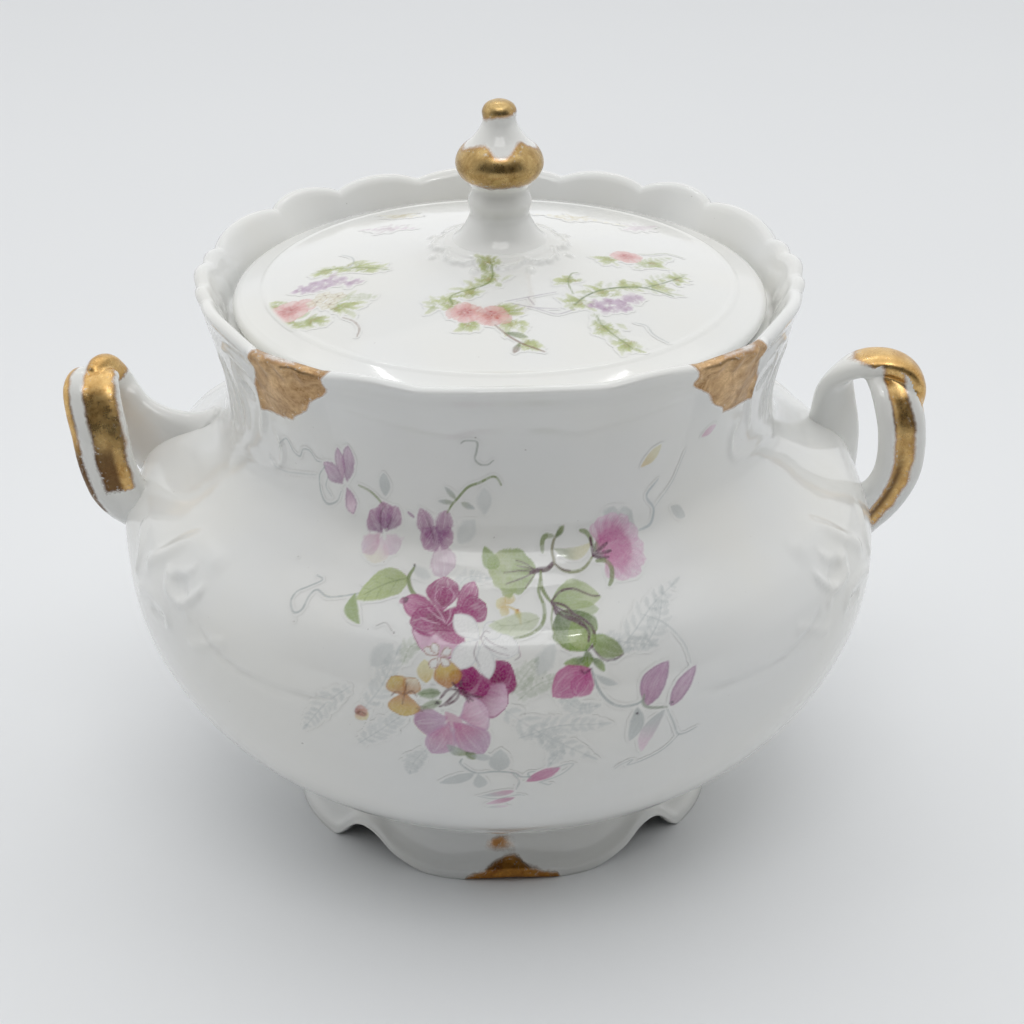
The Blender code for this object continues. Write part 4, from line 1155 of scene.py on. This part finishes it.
def lid_sheet():
    """Small sprays scattered over the lid."""
    s = Sheet(-46, 46, -46, 46, 8)
    for path, reach in (
        ([(-42, -18), (-38, -21), (-34, -22)], 1.8), ([(-22, -17), (-25, -16), (-29, -15)], 1.4),
        ([(24, -7), (27, -3), (31, 1)], 1.8), ([(12, -23), (16, -18), (22, -15), (30, -15)], 2.4),
        ([(25, -14), (28, -10), (33, -6)], 1.8), ([(15, -25), (17, -31), (22, -35)], 2.0),
        ([(-20, -7), (-27, -3), (-33, -2)], 1.6),
    ):
        s.fern(path, reach, (0.42, 0.47, 0.28), 0.6, 8)
    s.fern([(-14, 24), (-18, 28), (-22, 31)], 1.3, PALE_YELLOW, 0.45, 7)
    s.fern([(-15, 14), (-20, 16.5), (-25, 19)], 1.3, PALE_LILAC, 0.45, 7)
    s.fern([(7, 22), (15, 21), (24, 19)], 1.3, PALE_YELLOW, 0.45, 8)
    s.fern([(24, 15), (28, 19), (31, 23)], 1.3, PALE_LILAC, 0.45, 7)
    green, pale_green, twig = (0.30, 0.36, 0.085), (0.48, 0.53, 0.22), (0.34, 0.22, 0.08)
    for place, reach, low, high, seed in (
        ((-34, -20), 4.2, 190, 380, 1), ((-29, -18), 4.4, -70, 50, 2), ((-38, -19.6), 3.6, 180, 330, 3),
        ((-9.4, -22), 3.8, 90, 250, 4), ((-6, -19), 3.4, 20, 200, 5), ((-2, -15.4), 3.0, 40, 160, 6),
        ((-0.6, -25), 3.4, -60, 60, 7), ((1, -29), 3.2, 230, 350, 8), ((-2.4, -11.4), 2.6, 50, 140, 9),
        ((-27, -3), 4.0, -20, 200, 10), ((-31, -2.4), 3.0, 120, 260, 11), ((20, -4), 2.8, 150, 320, 12),
        ((13, -22), 3.0, 120, 320, 13), ((27, -4), 3.4, -10, 110, 14), ((-6.6, -29), 2.4, 210, 330, 15),
        ((17.4, -18), 3.2, 20, 200, 16), ((22, -15), 3.0, 0, 180, 17), ((27, -13.4), 3.0, -30, 120, 18),
        ((31, -9), 3.0, 0, 120, 19), ((17, -29.4), 2.8, 200, 340, 25), ((20, -33.6), 2.6, 210, 340, 26),
        ((3.4, -34.6), 2.6, 230, 360, 27), ((12, -14.6), 2.6, 60, 200, 28), ((-40, -13), 2.4, 90, 200, 29),
        ((-24.6, -5), 3.0, -60, 60, 30),
    ):
        s.tuft(place, reach * 1.1, green, pale_green, 24, 0.8, seed, low, high)
        s.tuft(place, reach * 0.8, twig, green, 5, 0.6, seed + 60, low, high, 0.5)
    for place, reach, seed in (((-18, 27), 3.6, 21), ((15, 20.6), 3.6, 22)):
        s.tuft(place, reach * 1.2, (0.48, 0.38, 0.16), (0.60, 0.54, 0.30), 18, 0.6, seed)
    for place, reach, seed in (((-20, 16.5), 3.2, 23), ((28, 19), 3.2, 24)):
        s.tuft(place, reach * 1.2, (0.46, 0.36, 0.40), (0.56, 0.50, 0.52), 18, 0.55, seed)
    red, blush, pale = (0.44, 0.07, 0.07), (0.64, 0.26, 0.25), (0.74, 0.48, 0.45)
    for centre, size, seed in (
        ((-37.6, -15.8), 4.6, 1), ((-6.8, -25.4), 3.7, 2), ((-2.4, -26.8), 3.6, 3), ((23, -1.6), 3.4, 4),
    ):
        rng = np.random.default_rng(seed)
        s.rosette(centre, 8, size, size * 0.85, blush, pale, 0.78, 0.3, 0.68, 0.4, blush, 0.22, 1.2, 0.35,
                  squash=0.9, rng=rng, wander=16, shares=(0.75, 1.08))
        s.rosette(centre, 6, size * 0.5, size * 0.55, red, blush, 0.6, 0.2, 0.6, 0.5, pale, 0.16, 1.0, 0.3,
                  squash=0.9, rng=rng, wander=20)
        s.dots(centre, 0.7, 3, 0.6, red, 0.8, seed)
    for centre in ((-33, -14.8), (-30.6, -16.6), (-29.2, -14.2), (-31.6, -13)):
        s.rosette(centre, 5, 1.8, 1.5, (0.74, 0.70, 0.56), (0.76, 0.74, 0.64), 0.8, 0, 0.6, 0.2,
                  (0.50, 0.42, 0.26), 0.14, 0.8, start=centre[0] * 30, squash=1.7 / 1.8)
        s.dots(centre, 0.5, 3, 0.35, BROWN, 0.7)
    for places in (
        ((-36, -8), (-33.6, -7), (-31, -6.4), (-29, -8.2), (-26.8, -9.8), (-31.4, -8.8), (-34, -9)),
        ((15.6, -22.4), (18, -21), (20.6, -20.4), (23, -19.2), (17.4, -23.6), (20.8, -22.4)),
    ):
        for k, place in enumerate(places):
            s.tuft(place, 2.2, (0.38, 0.24, 0.36), (0.56, 0.44, 0.56), 12, 0.75, k + 40, 0, 360, 1.2)
            s.dots((place[0] + 0.3, place[1] - 0.2), 0.5, 1, 0.35, (0.24, 0.12, 0.14), 0.6, k)
    s.line([(-33, -1.6), (-29, -2.4), (-25, -4), (-20, -7)], 0.3, OLIVE, 0.75)
    s.line([(-29, 4.6), (-27, 2), (-26.6, -1), (-27.4, -3)], 0.3, GREY, 0.65)
    s.line([(-28, -22), (-26, -24), (-25, -26.6), (-25.4, -29)], 0.32, BROWN, 0.6)
    s.line([(-9, -19.4), (-7.6, -18.6), (-6, -18), (-3, -16.4), (-1.8, -14), (-2, -10.4)], 0.36, OLIVE,
           0.85)
    s.line([(-9, -22.6), (-9.4, -20.6), (-9, -19.4)], 0.36, OLIVE, 0.85)
    s.line([(-2, -29.6), (0, -32.6), (2.4, -35), (6, -37.2)], 0.42, BROWN, 0.8)
    s.petal((-0.4, -31.8), (3.4, -33.2), 1.5, DEEP_LEAF, OLIVE, 0.8)
    s.petal((2, -34.8), (0.8, -37.6), 1.2, DEEP_LEAF, BROWN, 0.75)
    for path in (
        [(0, -22.4), (4, -21), (9, -19)], [(1, -23), (5, -24.4), (9, -24.6)], [(4, -21), (5, -23.6)],
        [(4, -24), (7, -25.6), (9, -26.2), (12, -24.4)],
    ):
        s.line(path, 0.26, (0.36, 0.32, 0.38), 0.65)
    s.line([(12, -23), (14, -20), (17.4, -17), (22, -15), (25.4, -14.4), (30, -16)], 0.4, DEEP_LEAF, 0.8)
    s.line([(25, -14.4), (29, -11), (33, -6.6)], 0.3, DEEP_LEAF, 0.7)
    s.line([(12, -19.4), (11.4, -15.4), (12.2, -12), (13.4, -11.4)], 0.3, OLIVE, 0.75)
    s.line([(15.6, -26), (16.6, -29.4), (21, -35)], 0.34, OLIVE, 0.7)
    s.line([(22, -27), (24, -27.6), (25, -30), (27.4, -32)], 0.28, GREY, 0.65)
    s.line([(34, 3), (31, 3.6), (28, 1.6), (25.4, 0.6)], 0.3, OLIVE, 0.6)
    # nothing is printed on the ridges near the edge
    rows, cols = s.cover.shape
    across, up = s.left + CELL * np.arange(cols), s.low + CELL * np.arange(rows)
    s.cover *= smoothstep(43.4, 42.4, np.hypot(across, up[:, None]))
    return s


def back_sheet():
    """A sparse spray for the back of the bowl."""
    s = Sheet(-26, 26, -12, 34, 21)
    for path, reach in (
        ([(-2, 10), (-9, 5), (-16, 2)], 2.2), ([(2, 10), (9, 14), (15, 21)], 2.2),
        ([(2, 8), (8, 3), (12, -3)], 2.0), ([(-2, 14), (-8, 19), (-10, 25)], 1.8),
    ):
        s.fern(path, reach)
    s.line([(-1, 10), (-8, 13), (-14, 13), (-19, 16)], 0.5, OLIVE, 0.85)
    s.line([(1, 10), (7, 12), (11, 18), (12, 25)], 0.5, OLIVE, 0.85)
    s.line([(-8, 13), (-9, 17), (-7, 19), (-5.6, 18)], 0.34, GREY, 0.7)
    s.line([(7, 12), (13, 10), (17, 12), (19, 10)], 0.34, GREY, 0.7)
    for a, b, w, bend in (
        ((-3, 9), (-11, 7.6), 4.2, 0.5), ((3, 9.6), (10, 8), 4.0, -0.5), ((1, 7), (3, 0), 3.8, 0.6),
        ((8, 13.4), (13, 17), 2.6, 0.4), ((-9, 13), (-12, 17.6), 2.4, 0),
    ):
        s.leaf(a, b, w, LEAF, 0.85, bend)
    for centre, size, near, far in (
        ((-1.4, 12.6), 5.4, MAGENTA, PALE_PINK), ((3.4, 7.4), 4.2, ROSE, PALE_LILAC),
    ):
        s.rosette(centre, 6, size, size, near, far, 0.93, 0.2, 0.66, 0.4, near, 0.22, start=centre[0] * 9)
        s.rosette(centre, 5, size * 0.45, size * 0.45, near, near, 0.85, 0, 0.6, 0.3, PALE_PINK, 0.14,
                  start=10)
        s.dots(centre, 0.6, 5, 0.45, PLUM)
    for place in ((-5.4, 5), (-7.6, 3.6)):
        s.rosette(place, 5, 1.9, 1.7, YELLOW, PALE_YELLOW, 0.85, 0, 0.6, 0.3, ORANGE, 0.18, start=15)
        s.dots(place, 0.4, 3, 0.4, BROWN)
    s.petal((-19, 16), (-22.6, 18), 2.4, ROSE, PINK, 0.88)
    s.petal((12, 25), (12.8, 29.4), 2.6, MAUVE, PALE_LILAC, 0.85)
    s.petal((19, 10), (22, 8), 2.0, ROSE, PALE_PINK, 0.85)
    return s


def transfer(name, sheet, place):
    """A printed sheet as a piece: a thin skin over the glaze, cut to the painted cells, closed underneath.
    Place turns across and up (mm) into a point on the surface."""
    painted = sheet.cover > 0.02
    wide = painted.copy()
    for axis in (0, 1):
        wide |= np.roll(painted, 1, axis) | np.roll(painted, -1, axis)
    wide[[0, -1]] = False
    wide[:, [0, -1]] = False
    cells = wide[:-1, :-1] | wide[1:, :-1] | wide[:-1, 1:] | wide[1:, 1:]
    rows, cols = sheet.cover.shape
    used = np.zeros((rows, cols), bool)
    for shift in ((0, 0), (0, 1), (1, 0), (1, 1)):
        used[shift[0]:rows - 1 + shift[0], shift[1]:cols - 1 + shift[1]] |= cells
    number = np.full((rows, cols), -1)
    number[used] = np.arange(used.sum())
    j, i = np.nonzero(used)
    across, up = sheet.left + CELL * i, sheet.low + CELL * j
    surface = place(across, up)
    step = 0.3
    out = np.cross(place(across + step, up) - place(across - step, up),
                   place(across, up + step) - place(across, up - step))
    out /= np.linalg.norm(out, axis=1)[:, None]
    j, i = np.nonzero(cells)
    quads = np.stack([number[j, i], number[j, i + 1], number[j + 1, i + 1], number[j + 1, i]], 1)
    count = len(surface)
    points = np.vstack([surface + PRINT_ABOVE * out, surface - PRINT_BELOW * out])
    sides = np.vstack([quads[:, [k, (k + 1) % 4]] for k in range(4)])
    _, first, times = np.unique(np.sort(sides, 1), axis=0, return_index=True, return_counts=True)
    rim = sides[first[times == 1]]
    walls = np.stack([rim[:, 1], rim[:, 0], rim[:, 0] + count, rim[:, 1] + count], 1)
    faces = np.vstack([quads, quads[:, ::-1] + count, walls])
    made = make_object(name, points, faces.tolist())
    # The skin is shaded like the glaze under it, so its edge doesn't show.
    shading = np.tile(out, (2, 1))[faces.ravel()]
    shading[4 * len(quads):8 * len(quads)] *= -1
    made.data.normals_split_custom_set(shading.tolist())
    colour = np.concatenate([sheet.colour, sheet.cover[..., None]], -1)[used]
    store(made, "ink", np.vstack([colour, colour]))
    return made


def on_bowl(middle):
    """Places for a sheet wrapped on the bowl's outside, with its middle at this azimuth."""
    profile = curve(BOWL_OUTSIDE, 600)
    run = np.concatenate([[0], np.cumsum(np.hypot(*np.diff(profile, axis=0).T))])
    run -= np.interp(WIDEST_HEIGHT, profile[:, 1], run)
    normal = outward(profile)

    def place(across, up):
        azimuth = middle + np.degrees(across / ARC_RADIUS)
        r, z = np.interp(up, run, profile[:, 0]), np.interp(up, run, profile[:, 1])
        nr, nz = np.interp(up, run, normal[:, 0]), np.interp(up, run, normal[:, 1])
        relief = bowl_relief(azimuth, z)
        r, z = collar_shape(r, z, azimuth)
        r, z = r + nr * relief, z + nz * relief
        a = np.radians(azimuth)
        return np.stack([r * np.sin(a), -r * np.cos(a), z], 1)

    return place


def on_lid(across, up):
    """Places for a sheet laid flat over the lid's top."""
    r = np.hypot(across, up)
    azimuth = np.degrees(np.arctan2(across, -up))
    return np.stack([across, up, lid_height(r) + lid_relief(r, azimuth)], 1)


# ---------------------------------------------------------------- materials

WHITE = (0.80, 0.805, 0.79)
WARM_WHITE = (0.808, 0.805, 0.77025)
SPECK = (0.30, 0.27, 0.24)
GOLD_EDGE = (0.40, 0.22, 0.10)
# near-black brown that the handles' gold turns to: a painted dark reflection of the room
PAINTED_REFLECTION_BROWN = (0.055, 0.018, 0.004)
# Dark, light and speckle colour of the gilding, and its least roughness: rubbed and matt on the rim, bright
# on the handles, brown on the finial, thick and orange on the foot
MATT_GOLD = ((0.30, 0.165, 0.065), (0.72, 0.50, 0.28), (0.52, 0.34, 0.17), 0.36)
BRIGHT_GOLD = ((0.46, 0.25, 0.07), (0.84, 0.58, 0.24), (0.66, 0.42, 0.16), 0.22)
BROWN_GOLD = ((0.28, 0.16, 0.045), (0.64, 0.46, 0.20), (0.44, 0.29, 0.11), 0.22)
ORANGE_GOLD = ((0.22, 0.075, 0.01), (0.60, 0.28, 0.045), (0.38, 0.16, 0.03), 0.30)


class Nodes:
    """Short way to write the nodes of a material or of the world."""

    def __init__(self, owner, output, coordinates):
        owner.use_nodes = True
        self.tree = owner.node_tree
        self.shader = self.tree.nodes[output]
        self.where = self.put("ShaderNodeTexCoord").outputs[coordinates]

    def link(self, source, socket):
        self.tree.links.new(source, socket)

    def put(self, kind, **values):
        node = self.tree.nodes.new(kind)
        for key, value in values.items():
            setattr(node, key, value)
        return node

    def noise(self, scale, detail=2.0, roughness=0.5, distortion=0.0):
        node = self.put("ShaderNodeTexNoise")
        self.link(self.where, node.inputs["Vector"])
        node.inputs["Scale"].default_value = scale
        node.inputs["Detail"].default_value = detail
        node.inputs["Roughness"].default_value = roughness
        node.inputs["Distortion"].default_value = distortion
        return node.outputs["Fac"]

    def maths(self, operation, a, b=0.0, c=0.0):
        node = self.put("ShaderNodeMath", operation=operation)
        for socket, value in zip(node.inputs, (a, b, c)):
            if isinstance(value, (int, float)):
                socket.default_value = value
            else:
                self.link(value, socket)
        return node.outputs[0]

    def ramp(self, value, low, high, to_low=0.0, to_high=1.0):
        node = self.put("ShaderNodeMapRange", interpolation_type="SMOOTHSTEP")
        self.link(value, node.inputs["Value"])
        for key, number in (("From Min", low), ("From Max", high), ("To Min", to_low), ("To Max", to_high)):
            node.inputs[key].default_value = number
        return node.outputs[0]

    def blend(self, factor, a, b):
        """Between two numbers."""
        node = self.put("ShaderNodeMix", data_type="FLOAT")
        for socket, value in zip((node.inputs[0], node.inputs[2], node.inputs[3]), (factor, a, b)):
            self.link(value, socket)
        return node.outputs[0]

    def mix(self, factor, a, b):
        """Between two colours."""
        node = self.put("ShaderNodeMix", data_type="RGBA")
        self.link(factor, node.inputs[0])
        for socket, value in ((node.inputs[6], a), (node.inputs[7], b)):
            if isinstance(value, tuple):
                socket.default_value = (*value, 1.0)
            else:
                self.link(value, socket)
        return node.outputs[2]

    def attribute(self, name, output="Fac"):
        return self.put("ShaderNodeAttribute", attribute_name=name).outputs[output]


def printed(n, colour):
    """The colour with what the ink attribute holds printed over it."""
    grain = n.ramp(n.noise(2600.0, 2.0), 0.30, 0.72, 0.90, 1.0)
    cover = n.maths("MULTIPLY", n.attribute("ink", "Alpha"), grain)
    return n.mix(cover, colour, n.attribute("ink", "Color"))


def gilded(n, colour, roughness, height, gold):
    """Colour, roughness and bump height with worn gilding where the gold attribute is above 0."""
    dark, light, speckle, least_rough = gold
    # ragged at its edge, and rubbed through in specks near it
    wander = n.maths("SUBTRACT", n.noise(330.0, 4.0, 0.6), 0.5)
    ragged = n.maths("MULTIPLY_ADD", wander, 1.5, n.attribute("gold"))
    rubbed = n.ramp(n.noise(1500.0, 4.0, 0.7), 0.30, 0.44, 0.25, 1.0)
    whole = n.maths("MAXIMUM", rubbed, n.ramp(ragged, 0.1, 1.6))
    coverage = n.maths("MULTIPLY", n.ramp(ragged, -0.35, 0.50), whole)
    # clouded, speckled, red-brown at the edge, and near-black brown as painted dark reflection where the
    # handles' attribute for it says so
    gilt = n.mix(n.ramp(n.noise(260.0, 5.0, 0.7, 0.6), 0.32, 0.68), dark, light)
    gilt = n.mix(n.ramp(n.noise(2400.0, 3.0, 0.6), 0.35, 0.75), gilt, speckle)
    gilt = n.mix(n.ramp(ragged, 0.0, 0.9), GOLD_EDGE, gilt)
    gilt = n.mix(n.maths("MULTIPLY", n.attribute("painted_reflection"), 0.85), gilt, PAINTED_REFLECTION_BROWN)
    n.link(n.maths("MULTIPLY", coverage, 0.88), n.shader.inputs["Metallic"])
    rough = n.ramp(n.noise(700.0, 4.0, 0.6), 0.3, 0.7, least_rough, least_rough + 0.18)
    grainy = n.maths("MULTIPLY", n.maths("MULTIPLY", n.noise(1800.0, 3.0, 0.6), coverage), 0.00003)
    return n.mix(coverage, colour, gilt), n.blend(coverage, roughness, rough), n.maths("ADD", height, grainy)


def porcelain(name, gold=None, ink=False):
    """White glazed porcelain with a few specks, either gilded in these colours or printed."""
    material = bpy.data.materials.new(name)
    n = Nodes(material, "Principled BSDF", "Object")
    white = n.mix(n.ramp(n.noise(28.0, 3.0), 0.35, 0.65), WHITE, WARM_WHITE)
    specks = n.ramp(n.noise(900.0, 1.0), 0.80, 0.86)
    colour = n.mix(n.maths("MULTIPLY", specks, 0.5), white, SPECK)
    roughness = n.ramp(n.noise(60.0, 2.0), 0.3, 0.7, 0.055, 0.085)
    height = n.maths("MULTIPLY", n.noise(55.0, 2.0), 0.00012)
    if ink:
        colour = printed(n, colour)
    if gold:
        colour, roughness, height = gilded(n, colour, roughness, height, gold)
    n.link(colour, n.shader.inputs["Base Color"])
    n.link(roughness, n.shader.inputs["Roughness"])
    bump = n.put("ShaderNodeBump")
    bump.inputs["Strength"].default_value = 0.5
    bump.inputs["Distance"].default_value = 1.0
    n.link(height, bump.inputs["Height"])
    n.link(bump.outputs[0], n.shader.inputs["Normal"])
    n.shader.inputs["IOR"].default_value = 1.52
    n.shader.inputs["Coat Weight"].default_value = 0.15
    n.shader.inputs["Coat Roughness"].default_value = 0.03
    return material


# ---------------------------------------------------------------- the pieces

def dress(piece, material, body, node=None):
    """Gives a piece its material and its body, and says which CAD node it replaces."""
    piece.data.materials.clear()
    piece.data.materials.append(material)
    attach(piece, body)
    if node:
        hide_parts(node)


# Piece, body, material slot, CAD node and gilding
PIECES = [
    (bowl(), "bowl", "painted_porcelain", "bowl_body", MATT_GOLD),
    (foot(), "bowl", "gilt_porcelain", "foot_ring", ORANGE_GOLD),
    (handle("handle_left"), "bowl", "gilt_porcelain", "handle_left", BRIGHT_GOLD),
    (handle("handle_right"), "bowl", "gilt_porcelain", "handle_right", BRIGHT_GOLD),
    (lid(), "lid", "painted_porcelain", "lid", None),
    (finial(), "lid", "gilt_porcelain", "finial", BROWN_GOLD),
]
for piece, body, slot_name, node, gilding in PIECES:
    dress(piece, porcelain(node + "_glaze", gold=gilding), body, node)
# Name, sheet, where it lies, and body
TRANSFERS = [
    ("spray_front", front_sheet(), on_bowl(0.0), "bowl"),
    ("spray_back", back_sheet(), on_bowl(180.0), "bowl"),
    ("spray_lid", lid_sheet(), on_lid, "lid"),
]
for name, sheet, place, body in TRANSFERS:
    dress(transfer(name, sheet, place), porcelain(name + "_print", ink=True), body)


# ---------------------------------------------------------------- studio

def floor():
    """A plain pale floor, in a grid of squares."""
    size, count = 3000.0, 24
    line = np.linspace(-size, size, count + 1)
    x, y = np.meshgrid(line, line)
    points = np.stack([x.ravel(), y.ravel(), np.zeros(x.size)], 1)
    index = np.arange(x.size).reshape(count + 1, count + 1)
    faces = []
    for i in range(count):
        for j in range(count):
            faces.append([index[i, j], index[i, j + 1], index[i + 1, j + 1], index[i + 1, j]])
    made = make_object("floor", points, faces)
    paint = bpy.data.materials.new("floor_paint")
    n = Nodes(paint, "Principled BSDF", "Object")
    n.link(n.mix(n.noise(6.0), (0.79, 0.80, 0.81), (0.81, 0.82, 0.83)), n.shader.inputs["Base Color"])
    n.shader.inputs["Roughness"].default_value = 0.75
    made.data.materials.append(paint)


def area_light(name, place, target, size, power, colour=(1, 1, 1)):
    """A rectangular light that faces its target."""
    data = bpy.data.lights.new(name, "AREA")
    data.shape = "RECTANGLE"
    data.size, data.size_y = size
    data.energy = power
    data.color = colour
    lamp = bpy.data.objects.new(name, data)
    lamp.location = place
    lamp.rotation_euler = (Vector(target) - Vector(place)).to_track_quat("-Z", "Y").to_euler()
    bpy.context.scene.collection.objects.link(lamp)


def world():
    """A white room that is darker low in front, where it is open."""
    room = bpy.data.worlds.new("studio")
    bpy.context.scene.world = room
    n = Nodes(room, "Background", "Generated")
    split = n.put("ShaderNodeSeparateXYZ")
    n.link(n.where, split.inputs[0])
    in_front = n.ramp(split.outputs["Y"], -0.68, -0.10, 1.0, 0.0)
    low = n.ramp(split.outputs["Z"], 0.66, 0.84, 1.0, 0.0)
    strength = n.maths("SUBTRACT", 0.94, n.maths("MULTIPLY", n.maths("MULTIPLY", in_front, low), 0.90))
    n.link(strength, n.shader.inputs["Strength"])
    n.shader.inputs["Color"].default_value = (0.98, 0.99, 1.0, 1.0)


def camera():
    """In front of the bowl and above it, looking down."""
    data = bpy.data.cameras.new("camera")
    data.lens = 67.2
    data.sensor_width = 36.0
    data.clip_start, data.clip_end = 0.01, 50
    made = bpy.data.objects.new("camera", data)
    made.location = (-0.0127, -0.3287, 0.2342)
    made.rotation_euler = Vector((0.0399, 0.8787, -0.4756)).to_track_quat("-Z", "Y").to_euler()
    bpy.context.scene.collection.objects.link(made)
    bpy.context.scene.camera = made


floor()
world()
camera()
area_light("ceiling", (0.0, 0.25, 0.80), (0, 0.25, 0), (1.10, 0.90), 0.9, (1.0, 0.99, 0.97))
area_light("back_strip", (0.0, 0.42, 0.78), (0, 0, 0.10), (0.50, 0.012), 0.22)
area_light("front_strip", (-0.04, -0.22, 0.74), (0, 0, 0.08), (0.34, 0.03), 0.035)
area_light("front_high", (0.0, -0.42, 0.86), (0, 0, 0.08), (0.50, 0.30), 1.0)
area_light("spark", (0.17, -0.30, 0.66), (0, 0, 0.08), (0.03, 0.016), 0.03)
bpy.context.scene.view_settings.view_transform = "Standard"
